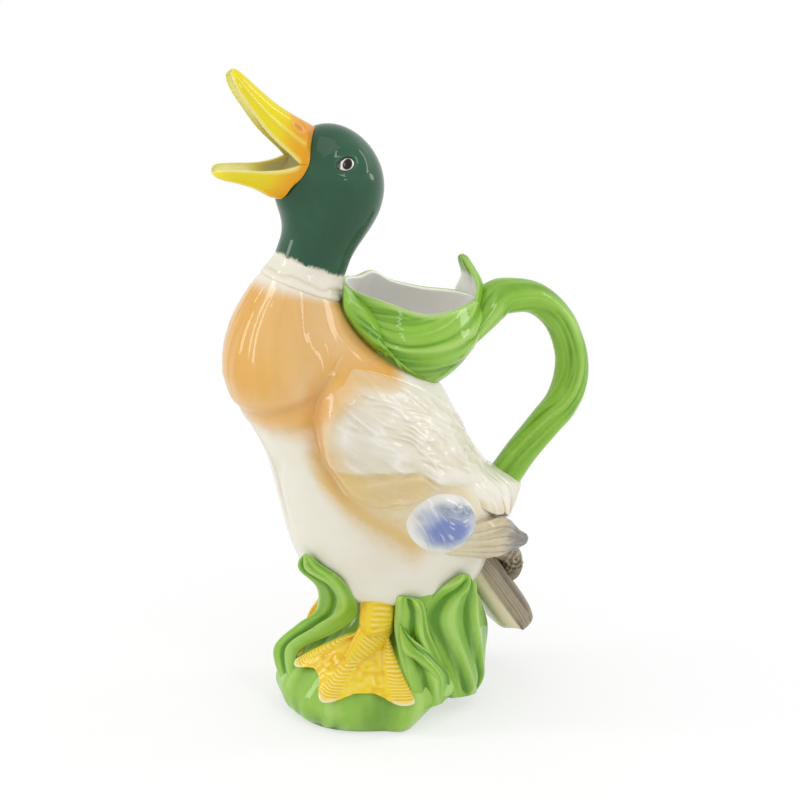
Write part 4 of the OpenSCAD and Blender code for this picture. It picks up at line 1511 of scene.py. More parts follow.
@dataclass
class Tail(Assembly):
    """Rump skirt under the handle, the curled feathers and the tail fan."""

    body: BodyForm = BODY_FORM

    # Rows of the skirt, and its first and last degree from the breast with how many
    skirt_rows: int = 130
    skirt_turns: tuple[float, float, int] = (112, 248, 240)

    # Width and drop of the fan, and its rows: shares of the drop down and back, half width and half depth
    fan_w: float = 40.0
    fan_drop: float = 46.0
    fan_rows: Rows = (
        (0, 0, 0.4, 0.27), (0.3, 0.19, 0.44, 0.28), (0.65, 0.42, 0.45, 0.28), (0.82, 0.53, 0.44, 0.26),
        (0.9, 0.58, 0.41, 0.2), (0.95, 0.61, 0.33, 0.1))
    fan_rings: int = 140
    fan_sides: int = 280

    # Path of the curl from the tail's root: x, y, z, half width and half depth, and the roll's middle
    curl_path: Rows = (
        (-14, 0, 14, 13, 6), (1, 0, 11, 14, 6.4), (9.5, 0, 5, 13.5, 6), (9.5, 0, -3, 12, 5.4),
        (3, 0, -8, 8, 4))
    curl_rings: int = 110
    curl_sides: int = 140
    roll_x: float = 9.5
    roll_z: float = 5.5

    def skirt(self) -> Skin:
        """Model the cream rump feathers that take the handle's foot, ending in a scalloped fringe.

        Returns:
            Their skin.
        """
        share, phi = sheet(np.linspace(0, 1, self.skirt_rows), np.linspace(*self.skirt_turns))
        turned = np.abs(phi - 180)
        away = turned / 60
        quill = strokes(phi * 0.9, share * 40, 86, 15, 2.4, 3)
        tooth = np.abs(np.sin(np.radians(phi * 10 + 14 * np.sin(np.radians(phi * 7)))))
        low = 3.95 + 1.0 * away ** 1.15 - 0.1 * tooth
        s = mix(5.35 + 0.55 * ease(away), low, share)
        stub = 14.0 * ease(share / 0.5) - 8.5 * ramp(share, 0.45, 0.55)
        rise = mix(2.0 * ease(share / 0.6), stub, hump(turned, 0, 17))
        edge = fall(away, 0.6, 0.45) * fall(share, 0.96, 0.04)
        fringe = ramp(share, 0.6, 0.3)
        height = -0.9 + edge * (rise + 1.2 + 0.5 * quill * ease(share / 0.3) + fringe * (0.8 * tooth + 0.4))
        hollow = 0.5 * ease(-quill / 0.7) * ease(share / 0.35) + 0.6 * fringe * ease((0.3 - tooth) / 0.3)
        masks = {"tan": fringe * (0.2 + 0.45 * (1 - tooth)), "hollow": hollow,
                 "ridge": 0.5 * ease(quill / 0.8) * ease(share / 0.3),
                 "grey": 0.2 * ramp(share, 0.93, 0.07)}
        return Skin.from_grid(self.body.point(s, phi, height), masks)

    def fan(self) -> Skin:
        """Model the tail fan: flat cream flanks and a dark grooved back with a rounded end.

        Returns:
            Its skin.
        """
        root = self.body.point(2.2, 180, -5.0)
        w, drop = self.fan_w, self.fan_drop
        rows = [[root[0] + drop * r[1], 0, root[2] - drop * r[0], w * r[2], w * r[3]] for r in self.fan_rows]
        sweep = Sweep(rows, (0, 1, 0), self.fan_rings, self.fan_sides)
        t, theta = sweep.grid
        c, sn = np.cos(theta), np.sin(theta)
        across = np.sign(c) * np.abs(c) ** np.where(sn > 0, 0.8, 0.5)
        through = np.where(sn > 0, np.abs(sn) ** 0.9, -np.abs(sn) ** 0.5)
        back = ramp(sn, -0.05, 0.08)
        lay = 4.0 * np.abs(across) - 7.0 * through + 0.3 * flat_noise(t * 4, c, 1.0, 2)
        saw = lay - np.floor(lay)
        groove = 0.35 * hump(saw, 0.5, 0.3) - hump(saw, 0.0, 0.15) - hump(saw, 1.0, 0.15)
        barbs = strokes(across * 20, t * 60, 88, 34, 1.2, 5)
        height = back * (0.13 * groove + 0.05 * barbs) * ease(t / 0.15)
        place = sweep.place(across, through * np.where(through < 0, 0.72, 1.0) + height)
        along = unit(np.array([0.64, 0, -1.0]))
        cut = 0.2 * drop * ease(0.1 - through) + 0.1 * drop * across ** 2
        cut = cut + 1.2 * back * ease(-barbs)
        place = place - (cut * ramp(t, 0.25, 0.75))[..., None] * along
        streak = strokes(through * 8, t * 60, 86, 40, 2.0, 9)
        masks = {"cream": (1 - back) * (0.95 - 0.35 * ease(streak)), "hollow": back * ease(-groove / 0.5),
                 "ridge": back * ease(groove / 0.3) * 0.5, "grey": back * (0.45 + 0.5 * ease(-barbs)),
                 "dark": np.clip(back * (0.5 + 0.5 * ease(-barbs * 1.6)) - 0.2, 0, 1)}
        return Skin.from_grid(place, masks, loop=True, caps=(True, True))

    def curl(self) -> Skin:
        """Roll the curled drake feathers up at their end.

        Returns:
            Their skin.
        """
        sweep = Sweep(self.body.from_tail(self.curl_path), (0, 1, 0), self.curl_rings, self.curl_sides)
        t, theta = sweep.grid
        c = np.cos(theta)
        middle = np.array([self.body.tail_x + self.roll_x, 0, self.body.belly_z + self.roll_z])
        around = sweep.rings() - middle
        radius = np.hypot(around[..., 0], around[..., 2])
        coil = np.sin(radius * 2.3 + np.arctan2(around[..., 2], around[..., 0]))
        coil = coil * ease((np.abs(c) - 0.5) / 0.3) * ease((7.5 - radius) / 2)
        quill = strokes(c * 22, t * 60, 84, 22, 1.8, 6)
        roll = 0.7 * ramp(t, 0.3, 0.25) * ease((0.9 - t) / 0.25)
        masks = {"dark": roll * (0.5 + 0.5 * ease(-coil * 2)), "grey": 0.5 + 0.2 * t,
                 "hollow": ease(-quill / 0.6) * 0.5, "cream": 0.6 * ease((0.25 - t) / 0.2),
                 "ridge": ease(coil / 0.6) * 0.6 + 0.4 * ease(quill / 0.8)}
        place = sweep.rings(1 + 0.05 * coil + 0.04 * quill)
        return Skin.from_grid(place, masks, loop=True, caps=(True, True))

    def build(self) -> None:
        """Make the skirt, the fan and the curl."""
        self.add("rump_skirt", self.skirt(), "rump_coverts", Slot.CREAM, PLUMAGE)
        self.add("tail_feathers", self.fan(), "tail_fan", Slot.TAUPE, TAUPE)
        self.add("tail_roll", self.curl(), "tail_curl", Slot.TAUPE, TAUPE)


@dataclass(frozen=True)
class Blade:
    """One broad grass blade, from its foot to its tip."""

    # Left and right edge: x, y, z of each
    rows: Rows
    # Outward directions from foot to tip
    facing: Rows
    folds: float
    sway: float
    seed: int
    half_t: float = 3.25
    melt: float = 0.0
    steps: int = 150

    def skin(self) -> Skin:
        """Model the blade with its flowing folds.

        Returns:
            Its skin.
        """
        t, turned = sheet(np.linspace(0, 1, self.steps), full_turn(self.steps))
        c, sn = turn(turned)
        across = np.sign(c) * np.abs(c) ** 0.9
        edges = spline(self.rows, t * (len(self.rows) - 1))
        out = unit(spline(self.facing, t * (len(self.facing) - 1)))
        half = (edges[..., 3:] - edges[..., :3]) / 2
        width = np.linalg.norm(half, axis=-1)
        face = ease(sn * 3 + 0.2)
        bend = across + self.sway * np.sin(math.pi * t) + 0.1 * np.sin(t * 6 + self.seed)
        wave = math.pi * self.folds * (bend + 1) + 0.7 * flat_noise(t * 5, c, 1.0, self.seed)
        crest = 0.5 + 0.5 * np.sin(wave + 0.7 * np.sin(wave))
        fine = strokes(across * 10, t * 60, 86, 40, 2.0, self.seed)
        ends = ease(t / 0.1) * ease((1 - t) / 0.1)
        height = face * (crest - 0.6 + 0.1 * fine) * ends
        thick = np.minimum(self.half_t, 0.2 + 0.45 * width)
        raised = sn * thick * (1 + height) + 0.2 * width * (1 - across ** 2)
        raised = raised * (1 - self.melt * fall(t, 0, 0.3)) - 2 * self.melt * ease((0.12 - t) / 0.12)
        place = edges[..., :3] + (1 + across * (1 + 0.03 * fine))[..., None] * half + raised[..., None] * out
        masks = {"hollow": face * ease((0.55 - crest) / 0.5) * ends + 0.35 * face * ease(-fine),
                 "ridge": face * ramp(crest, 0.65, 0.35) * 0.7 + 0.4 * face * ease(fine),
                 "edge": 0.35 * ease((np.abs(across) - 0.94) / 0.05) * ease(t / 0.3)}
        return Skin.from_grid(place, masks, loop=True, caps=(True, True))


@dataclass
class Mound(Assembly):
    """Grassy mound with its blades lapping up on the duck."""

    form: MoundForm = MOUND_FORM
    rows: int = 130
    sides: int = 340
    front: Blade = Blade(
        ((-56, 9, 11, -53, -5, 15), (-57, 14, 27, -50, 0, 31), (-48, 6, 41, -36, -12, 43),
         (-43, -4, 51, -28, -20, 53), (-43, -11, 62, -30, -26, 64), (-46, -15, 71, -38, -28, 77),
         (-52, -11, 78, -46, -21, 83), (-53, -12, 83, -49, -19, 86), (-52, -14, 86, -51, -15, 87)),
        ((-0.8, 0, 0.6), (-0.75, -0.15, 0.6), (-0.65, -0.6, 0.25), (-0.75, -0.6, -0.1), (-0.8, -0.5, -0.1)),
        folds=1.5, sway=0.2, seed=3, melt=0.5)
    tall: Blade = Blade(
        ((16, -33, 9, 34, -20, 4), (12, -37, 22, 38, -20, 13), (5, -39, 42, 39, -22, 26),
         (-1, -41, 56, 39, -24, 41), (3, -40, 65, 33, -29, 56), (8, -43, 72, 27, -34, 65),
         (17, -43, 77, 22, -40, 75)),
        ((0.5, -0.85, 0.25), (0.5, -0.85, 0.15), (0.45, -0.9, 0.05), (0.4, -0.9, -0.1)),
        folds=2.3, sway=0.45, seed=5)
    side: Blade = Blade(
        ((-9, -43, 11, 10, -38, 10), (-11, -41, 26, 12, -39, 21), (-12, -36, 37, 10, -37, 33),
         (-13, -33, 50, 2, -41, 48), (-13, -34, 60, -1, -42, 61), (-14, -37, 67, -3, -42, 66),
         (-13, -39, 69, -7, -42, 68)),
        ((-0.05, -0.95, 0.3), (0, -0.95, 0.2), (0, -1, 0)), folds=1.5, sway=0.35, seed=7)
    low: Blade = Blade(
        ((4, -41, 11, 14, -35, 11), (2, -43, 25, 13, -39, 25), (-6, -43, 36, 3, -42, 37),
         (-11, -40, 40, -3, -43, 43), (-12, -37, 47, -9, -41, 49), (-12, -36, 53, -11, -37, 53)),
        ((-0.15, -0.95, 0.3), (-0.15, -0.95, 0.2)), folds=1.0, sway=0.2, seed=9, half_t=2.8)

    @staticmethod
    def bank(s: Array, a: Array) -> Array:
        """Raise the grass on both flanks out of the plain mound, up to the belly.

        Args:
            s: Rows up from the table.
            a: Degrees from the tail.

        Returns:
            How far the grass stands out.
        """
        away = np.abs((a + 180) % 360 - 180)
        flank = ramp(away, 20, 16) * fall(away, 95, 12)
        return flank * (2.0 + 21.0 * ramp(s, 3.0, 4.0))

    def ground(self) -> Skin:
        """Model the mound itself, swept by flowing strokes.

        Returns:
            Its skin.
        """
        s, a = sheet(np.linspace(0, self.form.top, self.rows), full_turn(self.sides))
        swirl = a * 0.62 + 16 * ease(s / 5)
        wide = strokes(swirl, s * 10, 74, 46, 9, 2)
        fine = strokes(swirl, s * 10, 70, 22, 3.2, 4)
        height = (0.9 * wide + 0.35 * fine) * ease(s / 0.5 + 0.25) - 0.6 * ramp(s, 5.5, 1.5)
        masks = relief_masks(0.7 * wide + 0.7 * fine, 1.3)
        masks["ridge"] = np.clip(masks["ridge"] + 0.25, 0, 1)
        masks["olive"] = 0.25 * ease((0.5 - s) / 0.5)
        bank = self.bank(s, a)
        place = self.form.point(s, a, height + bank)
        place[..., 2] += 0.3 * bank * ramp(s, 5.4, 1.6)
        return Skin.from_grid(place, masks, loop=True, caps=(True, True))

    def build(self) -> None:
        """Make the mound and its blades."""
        self.add("grass_ground", self.ground(), "grass_mound", Slot.LEAF, LEAF)
        self.add("front_leaf", self.front.skin(), "front_blade", Slot.LEAF, LEAF)
        for word, blade in (("tall", self.tall), ("side", self.side), ("low", self.low)):
            self.add_pair(f"{word}_leaf", blade.skin(), f"{word}_blade", Slot.LEAF, LEAF)


@dataclass
class Feet(Assembly):
    """Webbed feet draped over the mound, with ribbed toes and legs."""

    mound: MoundForm = MOUND_FORM
    body: BodyForm = BODY_FORM
    web_t: float = 2.6
    web_rows: int = 190
    web_columns: int = 250
    web_margin: float = 0.1
    leg_d: float = 18.0
    leg_rings: int = 130
    leg_sides: int = 110
    toe_ribs: int = 26
    leg_ribs: int = 24

    # Paths of the inner, middle and outer toe: mound rows, and degrees from the tail
    toes: tuple[Rows, ...] = (
        ((6.0, 229), (5.28, 223), (4.93, 212.5), (4.33, 199), (3.83, 190.5), (3.38, 185)),
        ((6.0, 238), (5.2, 237), (4.48, 229.5), (3.68, 224), (2.98, 221), (2.45, 219.5)),
        ((6.0, 247), (5.23, 249), (4.48, 253), (3.62, 257.5), (2.9, 261), (2.35, 263)))

    @staticmethod
    def toe(v: Array, power: float) -> Array:
        """Height share of the three toes across a foot."""
        return np.abs(np.cos(2 * math.pi * v)) ** power

    def share(self, t: Array, v: Array) -> Array:
        """Share of the way to the toe tips, drawn in between them."""
        return t * (1 - np.where(v < 0.5, 0.21, 0.17) * (1 - self.toe(v, 3.0)))

    def web_point(self, t: Array, v: Array, off: Number) -> Array:
        """Find points on the foot.

        Args:
            t: Shares from the leg to the toe tips.
            v: Shares across, 0 at the inner toe and 1 at the outer one.
            off: How far the points are raised above the mound.

        Returns:
            The points.
        """
        k = self.share(t, v) * (len(self.toes[0]) - 1)
        inner, middle, outer = (spline(path, k) for path in self.toes)
        w = (2 * v)[..., None]
        at = np.where(w < 1, mix(inner, middle, w), mix(middle, outer, w - 1))
        return self.mound.point(at[..., 0], at[..., 1], off)

    def web(self) -> Skin:
        """Model the left foot from ankle to claws.

        Returns:
            Its skin.
        """
        t, v = sheet(np.linspace(0, 1, self.web_rows),
                     np.linspace(-self.web_margin, 1 + self.web_margin, self.web_columns))
        bone = self.toe(v, 6.0)
        u = self.share(t, v)
        rim = ease((1.0 - t) / 0.04) * ease((0.5 + self.web_margin - np.abs(v - 0.5)) / 0.05)
        place = self.web_point(t, v, 0.0)
        wob = 0.9 * noise(place, 6.0, 9)
        ribs = np.sin(u * 2 * math.pi * self.toe_ribs + 1.5 * wob) * ramp(bone, 0.3, 0.35)
        ribs = ribs * ease((0.92 - u) / 0.05) * (0.65 + 0.35 * noise(place, 4.0, 5))
        grain = noise(place, 2.1, 3) * fall(bone, 0.15, 0.4)
        claw = ramp(t, 0.9, 0.03) * ramp(bone, 0.4, 0.3)
        lift = 2.5 * fall(t, 0, 0.35)
        height = self.web_t + lift + 2.4 * bone * (1 - 0.3 * t) + 0.28 * ribs + 0.34 * grain + 0.4 * claw
        cleft = hump(bone, 0.14, 0.1) * ease((0.85 - t) / 0.4)
        spots = ease(noise(place, 8.0, 4) * 1.5) * (1 - 0.7 * bone)
        masks = {"hollow": 0.4 * ease(-grain / 0.5) + 0.6 * ease(-ribs / 0.6) + 0.5 * cleft,
                 "ridge": 0.9 * ease(ribs / 0.7) + 0.25 * ease(grain / 0.6),
                 "orange": 0.4 * spots + 0.4 * cleft, "claw": claw}
        return Skin.from_grid(self.web_point(t, v, rim * height - 0.8 * (1 - rim)), masks)

    def leg(self) -> Skin:
        """Model the left leg, ribbed across and running into the belly.

        Returns:
            Its skin.
        """
        z, d, mound = self.body.belly_z, self.leg_d, self.mound
        rows = [[*mound.point(3.9, 226, 1), 3.2, 1.5], [*mound.point(4.45, 229.5, 3.2), 5.6, 2.6],
                [*mound.point(5.0, 234.5, 4.2), 7.6, 4.2], [*mound.point(5.55, 238.5, 5.5), 8.4, 6],
                [-19.8, -26.4, z - 9, d * 0.46, d * 0.42], [-18.4, -25.4, z - 1, d * 0.48, d * 0.44],
                [-16.5, -21.5, z + 8, d * 0.48, d * 0.46]]
        sweep = Sweep(rows, (1, 0, 0), self.leg_rings, self.leg_sides)
        t, theta = sweep.grid
        ring = np.stack([np.cos(theta) * 2, t * 5, np.sin(theta) * 2], -1)
        flank = np.abs(np.cos(theta))
        ribs = np.sin(t * 2 * math.pi * self.leg_ribs + 1.3 * noise(ring, 1.0, 2)) * ease((0.99 - t) / 0.06)
        ribs = ribs * (0.6 + 0.4 * noise(ring, (0.8, 0.5, 0.8), 6)) * ease((0.7 - flank) / 0.2)
        masks = {"hollow": 0.55 * ease(-ribs / 0.6), "ridge": 0.9 * ease(ribs / 0.7),
                 "orange": 0.5 * ramp(flank, 0.78, 0.15), "cream": ramp(t, 0.97, 0.02)}
        return Skin.from_grid(sweep.rings(1 + 0.03 * ribs), masks, loop=True, caps=(True, True))

    def build(self) -> None:
        """Make both feet with their legs."""
        self.add_pair("webbed_foot", self.web().with_skin(self.leg()), "foot", Slot.FOOT, FOOT)


@dataclass
class LeafCup(Assembly):
    """Leaf-shaped filler cup with its curled tip and the lobes beside the neck."""

    form: CupForm = CUP_FORM
    sides: int = 260
    outer_rows: int = 90
    rim_rows: int = 10
    inner_rows: int = 50
    well_rows: int = 8
    well_depth: float = 3.0
    tip_h: float = 23.5
    tip_rings: int = 100
    tip_sides: int = 110
    lobe_rows: int = 150
    lobe_columns: int = 90
    lobe_tuck: float = 0.1

    # Seam of a lobe on the shoulder: body rows and degrees from the breast
    lobe_seam: Rows = (
        (11.7, 126), (11.2, 126.5), (10.7, 127), (10.2, 128), (9.75, 131), (9.25, 132.5), (8.85, 137),
        (8.6, 142))
    # Seam of a lobe on the cup's wall: degrees from the tail and shares up
    lobe_wall: Rows = (
        (190, 1.0), (204, 0.93), (218, 0.75), (231, 0.52), (243, 0.3), (257, 0.16), (272, 0.08))

    def cup(self) -> Skin:
        """Model the cup wall: veined outside, rolled rim, pale inside and the well into the body.

        Returns:
            Its skin.
        """
        form = self.form
        around = full_turn(self.sides)
        t, a = sheet(np.linspace(0, 1, self.outer_rows), around)
        flow = np.abs(a - 180) * 0.5
        vein = 0.8 * strokes(flow, t * 30, 22, 44, 3.0, 3) + 0.6 * strokes(flow, t * 30, 26, 24, 1.5, 5)
        height = 0.3 * vein + 0.45 * strokes(flow, t * 30, 20, 60, 8.0, 8)
        height = height * ease(t / 0.12) * ease((1.0 - t) / 0.12)
        place = form.point(a, t)
        place = place + grid_normals(place, True) * height[..., None]
        roll, a = sheet(np.linspace(0, math.pi, self.rim_rows + 2)[1:-1], around)
        inset = form.wall * (1 - np.cos(roll)) / 2
        rim = form.rim(a, inset) + 1.1 * np.sin(roll)[..., None] * np.array([0, 0, 1.0])
        down, a = sheet(np.linspace(1, 0, self.inner_rows), around)
        inner = form.point(a, down, form.wall)
        sink, a = sheet(np.linspace(0.2, form.body.wall + self.well_depth, self.well_rows), around)
        well = form.foot(a, form.wall, -sink)

        def painted(outside: Array, on_rim: Number = 0.0, within: float = 0.0) -> Array:
            """A mask that varies outside and is even on the inside and the well."""
            return np.concatenate([outside, on_rim + 0 * roll, within + 0 * down, within + 0 * sink])

        masks = {"hollow": painted(0.8 * ease(-vein / 1.1)), "ridge": painted(0.8 * ease(vein / 1.1), 0.2),
                 "edge": painted(0.7 * ramp(t, 0.95, 0.05), 0.75),
                 "olive": painted(0.4 * ease((0.12 - t) / 0.12)),
                 "inside": painted(0 * t, ease((inset / form.wall - 0.62) / 0.3), 1.0)}
        return Skin.from_grid(np.concatenate([place, rim, inner, well]), masks, loop=True)

    def tip(self) -> Skin:
        """Curl the leaf tip that the rim runs up into over the handle.

        Returns:
            Its skin.
        """
        half = self.form.wall * 0.5
        root = self.form.rim(np.array(0.0), half)
        h = self.tip_h
        rows = [[*self.form.point(0.0, 0.72, half), 11, 1.0], [*self.form.point(0.0, 0.88, half), 12, 1.4],
                [*(root + [0.5, 0, 0.04 * h]), 12, 2.2], [*(root + [0.2, 0, 0.3 * h]), 10, 2.9],
                [*(root + [-2.8, 0, 0.53 * h]), 7.4, 3.1], [*(root + [-5.3, 0, 0.72 * h]), 5.4, 2.9],
                [*(root + [-6.6, 0, 0.85 * h]), 3.6, 2.3], [*(root + [-7.1, 0, 0.91 * h]), 1.2, 1.0]]
        sweep = Sweep(rows, (0, 1, 0), self.tip_rings, self.tip_sides)
        t, theta = sweep.grid
        c, sn = np.cos(theta), np.sin(theta)
        inner = ramp(sn, 0.05, 0.3)
        rib = strokes(c * 8, t * 20, 84, 20, 2.0, 4)
        place = sweep.place(c, sn * (1 - 0.5 * inner * (1 - c ** 2)) * (1 + 0.06 * rib))
        place[..., 0] -= 0.038 * place[..., 1] ** 2 * fall(t, 0.35, 0.4)
        masks = relief_masks(rib * 0.6, 0.8)
        masks["inside"] = inner * ease((0.66 - t) / 0.16)
        masks["edge"] = 0.5 * ease((np.abs(c) - 0.9) / 0.08) * ramp(t, 0.25, 0.1)
        return Skin.from_grid(place, masks, loop=True, caps=(True, True))

    def lobe(self) -> Skin:
        """Spread the left side of the leaf from the cup's rim down onto the shoulder.

        Returns:
            Its skin.
        """
        body, seam, wall = self.form.body, self.lobe_seam, self.lobe_wall
        u, v = sheet(np.linspace(-self.lobe_tuck, 1, self.lobe_rows), np.linspace(0, 1, self.lobe_columns))
        down = np.clip(u, 0, 1)
        neck = body.collar_seat + [13, -0.5 * body.collar_d, 4.5]
        low = spline(np.vstack([neck, *[body.point(*row, 2.2) for row in seam]]), down * len(seam))
        torn = 2.4 * flat_noise(u * 26, 0, 1.0, 3) * ramp(u, 0.5, 0.15) * ease((0.86 - u) / 0.14)
        low = low + torn[..., None] * np.array([0.3, 0, -1.0])
        at = spline(wall, down * (len(wall) - 1))
        high = self.form.point(at[..., 0], at[..., 1], 1.6)
        puff = np.sin(math.pi * v ** 0.8) * np.sin(math.pi * (0.1 + 0.87 * down ** 0.85))
        fold = strokes(v * 16, u * 44, 66, 36, 2.6, 6) + 0.5 * strokes(v * 16, u * 44, 60, 18, 1.4, 8)
        out = 4.6 * puff + 0.35 * fold * puff + 0.8 * np.sin(math.pi * v) - 2.6 * ease((0.1 - v) / 0.1)
        place = mix(low, high, v[..., None]) + out[..., None] * np.array([-0.35, -0.85, 0.35])
        place = place + ease(-u / self.lobe_tuck)[..., None] * np.array([1.5, 3.0, -2.5])
        masks = relief_masks(fold * puff, 1.1)
        masks["olive"] = 0.8 * ease((0.35 - v) / 0.35) * ramp(u, 0.2, 0.3)
        masks["edge"] = 0.6 * ease((0.06 - u) / 0.08)
        return Skin.from_grid(place, masks)

    def build(self) -> None:
        """Make the cup, its tip and its lobes."""
        self.add("filler_leaf", self.cup(), "leaf_cup", Slot.LEAF, LEAF)
        self.add("filler_leaf_tip", self.tip(), "leaf_tip", Slot.LEAF, LEAF)
        self.add_pair("neck_lobe", self.lobe(), "lobe", Slot.LEAF, LEAF)


@dataclass
class Handle(Assembly):
    """Ribbed stem from the cup down to the rump."""

    cup: CupForm = CUP_FORM
    reach: float = 52.5
    thick: float = 17.5
    rings: int = 320
    sides: int = 130

    def rows(self) -> list[list[float]]:
        """Lay the stem's path from the cup's rim to the rump.

        Returns:
            Path rows.
        """
        body, r = self.cup.body, self.reach
        root = self.cup.rim(np.array(0.0), 0.0) - [2, 0, 8]
        end = np.array([body.tail_x + 7, 0, body.belly_z + 43])
        stops = [(root + [5, 0, 1.5], 0.7, 0.62), (root + [9, 0, 4.4], 0.62, 0.56),
                 (root + [16, 0, 6.6], 0.54, 0.5), (root + [0.61 * r, 0, 4], 0.48, 0.43),
                 (root + [0.83 * r, 0, -6.5], 0.48, 0.42), (root + [0.97 * r, 0, -23], 0.48, 0.44),
                 (root + [0.985 * r, 0, -37.5], 0.49, 0.47), (root + [0.9 * r, 0, -50], 0.48, 0.46),
                 (end + [23, 0, 26.5], 0.46, 0.45), (end + [9.5, 0, 12], 0.46, 0.45), (end, 0.47, 0.46)]
        return [[*p, self.thick * w, self.thick * d] for p, w, d in stops]

    def stem(self) -> Skin:
        """Model the stem with lengthwise ridges and soft facets, growing out of the cup's wall.

        Returns:
            Its skin.
        """
        sweep = Sweep(self.rows(), (0, 1, 0), self.rings, self.sides)
        t, theta = sweep.grid
        twist = theta + 0.8 * np.sin(t * 4.2)
        ring = np.stack([np.cos(twist) * 2.2, np.sin(twist) * 2.2, t * 5], -1)
        drift = 1.2 * noise(ring, 1.4, 6)
        ridge = 0.6 * np.sin(twist * 4 + drift) + 0.5 * np.sin(twist * 7 + 2.0 + 1.5 * drift)
        fine = noise(ring * np.array([3, 3, 1]), 1.0, 4)
        facet = noise(ring, (1.6, 1.6, 0.45), 9)
        knot = (hump(t, 0.43, 0.02) + 0.8 * hump(t, 0.66, 0.022)) * ease(np.sin(theta))
        ridge = ridge * (1 - 0.4 * ramp(t, 0.6, 0.3))
        height = 0.03 * ridge + 0.02 * fine + 0.035 * facet + 0.035 * knot
        masks = relief_masks(0.6 * ridge + 0.6 * fine + 0.4 * facet + 0.5 * knot, 1.3)
        masks["edge"] = 0.5 * ramp(t, 0.97, 0.02)
        foot = self.cup.point(24 * np.cos(theta), 0.64 + 0.34 * np.sin(theta), 1.0)
        place = mix(foot, sweep.rings(1 + height), ease(t / 0.11)[..., None])
        return Skin.from_grid(place, masks, loop=True, caps=(False, True))

    def build(self) -> None:
        """Make the handle."""
        self.add("stem_handle", self.stem(), "handle", Slot.LEAF, LEAF)


# Studio


@dataclass(frozen=True)
class Lamp:
    """One soft lamp, placed by its turn from the camera, its climb and its distance in metres."""

    name: str
    bearing: float
    climb: float
    distance: float
    wide: float
    high: float
    power: float


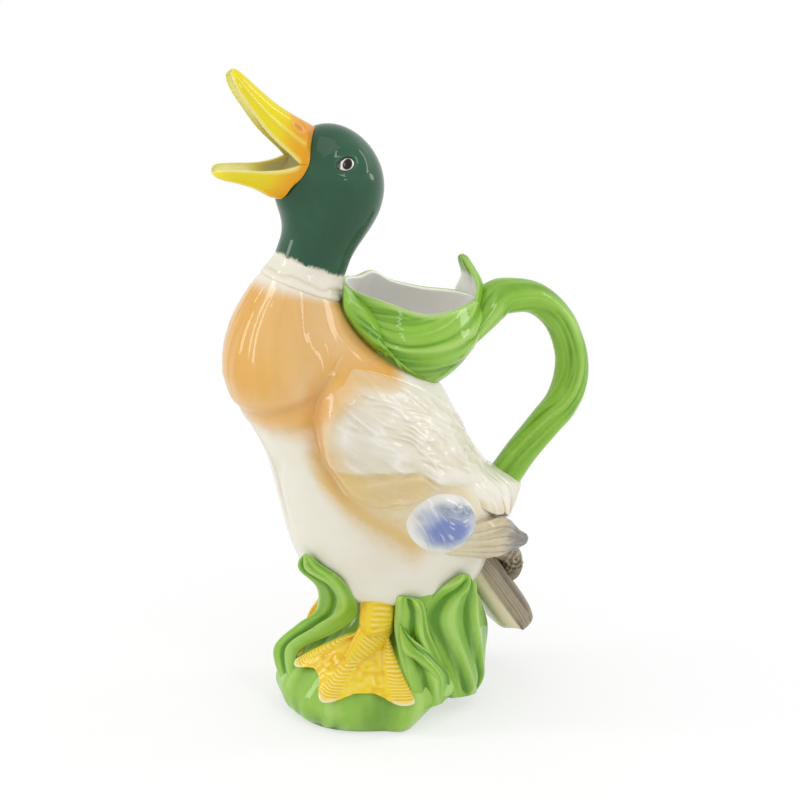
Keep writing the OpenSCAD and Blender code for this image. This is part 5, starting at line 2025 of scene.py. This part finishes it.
@dataclass
class Studio:
    """Pale floor, soft lamps and the camera at the photograph's angle, with lengths in metres."""

    azimuth: float = -22.0
    elevation: float = 18.0
    distance: float = 1.3
    lens: float = 123.0
    sensor: float = 36.0
    clip_end: float = 100.0
    target: tuple[float, float, float] = (0.003, 0.0, 0.152)
    fill: float = 0.72
    floor_half: float = 6.0
    floor_z: float = -0.0004
    shadow_r: float = 0.06
    shadow_fade: float = 6.0
    shadow_keep: float = 0.4
    lamps: tuple[Lamp, ...] = (
        Lamp("left_strip", -84, 24, 1.2, 0.22, 0.9, 4.0),
        Lamp("right_strip", 30, 40, 1.3, 0.12, 0.8, 2.0),
        Lamp("far_strip", 104, 22, 1.3, 0.22, 0.9, 3.4),
        Lamp("top_box", -20, 74, 1.4, 1.0, 1.0, 2.8))

    def toward(self, bearing: float, climb: float) -> Array:
        """Direction from the object, at a turn from the camera and a climb above the floor."""
        (ca, sa), (ce, se) = turn(self.azimuth + bearing), turn(climb)
        return np.array([sa * ce, -ca * ce, se])

    def aim(self, thing: bpy.types.Object, bearing: float, climb: float, distance: float) -> None:
        """Put a lamp or the camera in its place, looking at the target.

        Args:
            thing: The lamp or the camera.
            bearing: Turn from the camera.
            climb: Climb above the floor.
            distance: Distance from the target.
        """
        place = Vector(np.array(self.target) + self.toward(bearing, climb) * distance)
        thing.location = place
        thing.rotation_euler = (Vector(self.target) - place).to_track_quat("-Z", "Y").to_euler()
        bpy.context.scene.collection.objects.link(thing)

    def floor_finish(self) -> bpy.types.Material:
        """Make the floor's finish: white to the camera, with the shadow kept near the object.

        Returns:
            The material.
        """
        made = bpy.data.materials.new("pale_floor")
        made.use_nodes = True
        graph = Graph(made.node_tree)
        where = graph.node("ShaderNodeTexCoord").out("Object")
        colour = graph.mixed(linear("#FCFCFB"), linear("#F8F8F7"), graph.speckle(where, 40.0))
        matt = graph.node("ShaderNodeBsdfPrincipled", None, {
            "Base Color": colour, "Roughness": 0.9, "Specular IOR Level": 0.1})
        glow = graph.node("ShaderNodeEmission", None, {"Color": (1, 1, 1, 1), "Strength": 1.0})
        far = graph.node("ShaderNodeVectorMath", {"operation": "LENGTH"}, {0: where}).value("Value")
        clear = ((far - self.shadow_r) * self.shadow_fade).clamp() * self.shadow_keep + (1 - self.shadow_keep)
        both = graph.node("ShaderNodeMixShader", None, {
            0: graph.seen() * clear, 1: matt.out("BSDF"), 2: glow.out("Emission")})
        graph.node("ShaderNodeOutputMaterial", None, {"Surface": both.out("Shader")})
        return made

    def floor(self) -> None:
        """Lay the wide pale floor that keeps the shadow."""
        mesh = bpy.data.meshes.new("studio_floor")
        r, z = self.floor_half, self.floor_z
        mesh.from_pydata([(-r, -r, z), (r, -r, z), (r, r, z), (-r, r, z)], [], [(0, 1, 2, 3)])
        mesh.materials.append(self.floor_finish())
        floor = bpy.data.objects.new("studio_floor", mesh)
        bpy.context.scene.collection.objects.link(floor)

    def world(self) -> None:
        """Make the even surround: white to the camera and in reflections, softer as light."""
        world = bpy.data.worlds.new("studio_surround")
        world.use_nodes = True
        bpy.context.scene.world = world
        graph = Graph(world.node_tree)
        strength = graph.seen() * (1.0 - self.fill) + self.fill
        back = graph.node("ShaderNodeBackground", None, {"Color": (1, 1, 1, 1), "Strength": strength})
        graph.node("ShaderNodeOutputWorld", None, {"Surface": back.out("Background")})

    def light(self, lamp: Lamp) -> None:
        """Put up one lamp.

        Args:
            lamp: Its place, size and power.
        """
        data = bpy.data.lights.new(lamp.name, "AREA")
        data.shape = "RECTANGLE"
        data.size = lamp.wide
        data.size_y = lamp.high
        data.energy = lamp.power
        self.aim(bpy.data.objects.new(lamp.name, data), lamp.bearing, lamp.climb, lamp.distance)

    def camera(self) -> None:
        """Put up the camera at the photograph's angle."""
        data = bpy.data.cameras.new("photo_camera")
        data.lens = self.lens
        data.sensor_width = self.sensor
        data.clip_end = self.clip_end
        camera = bpy.data.objects.new("photo_camera", data)
        self.aim(camera, 0.0, self.elevation, self.distance)
        bpy.context.scene.camera = camera

    def build(self) -> None:
        """Make the floor, the surround, the lamps and the camera."""
        self.floor()
        self.world()
        for lamp in self.lamps:
            self.light(lamp)
        self.camera()
        bpy.context.scene.view_settings.view_transform = "Standard"


def main() -> None:
    """Build the studio, then the carafe piece by piece."""
    logging.basicConfig(level=logging.INFO, format="%(name)s: %(message)s")
    Studio().build()
    bills = Bills()
    head = HeadCasting(bills.face())
    for assembly in (BodyCasting(), head, bills, Wings(), Tail(), Mound(), Feet(), LeafCup(), Handle()):
        assembly.build()
        for piece in assembly.pieces:
            LOG.info("%s: %s with %d faces", type(assembly).__name__, piece.name, len(piece.data.polygons))


if __name__ == "__main__":
    main()
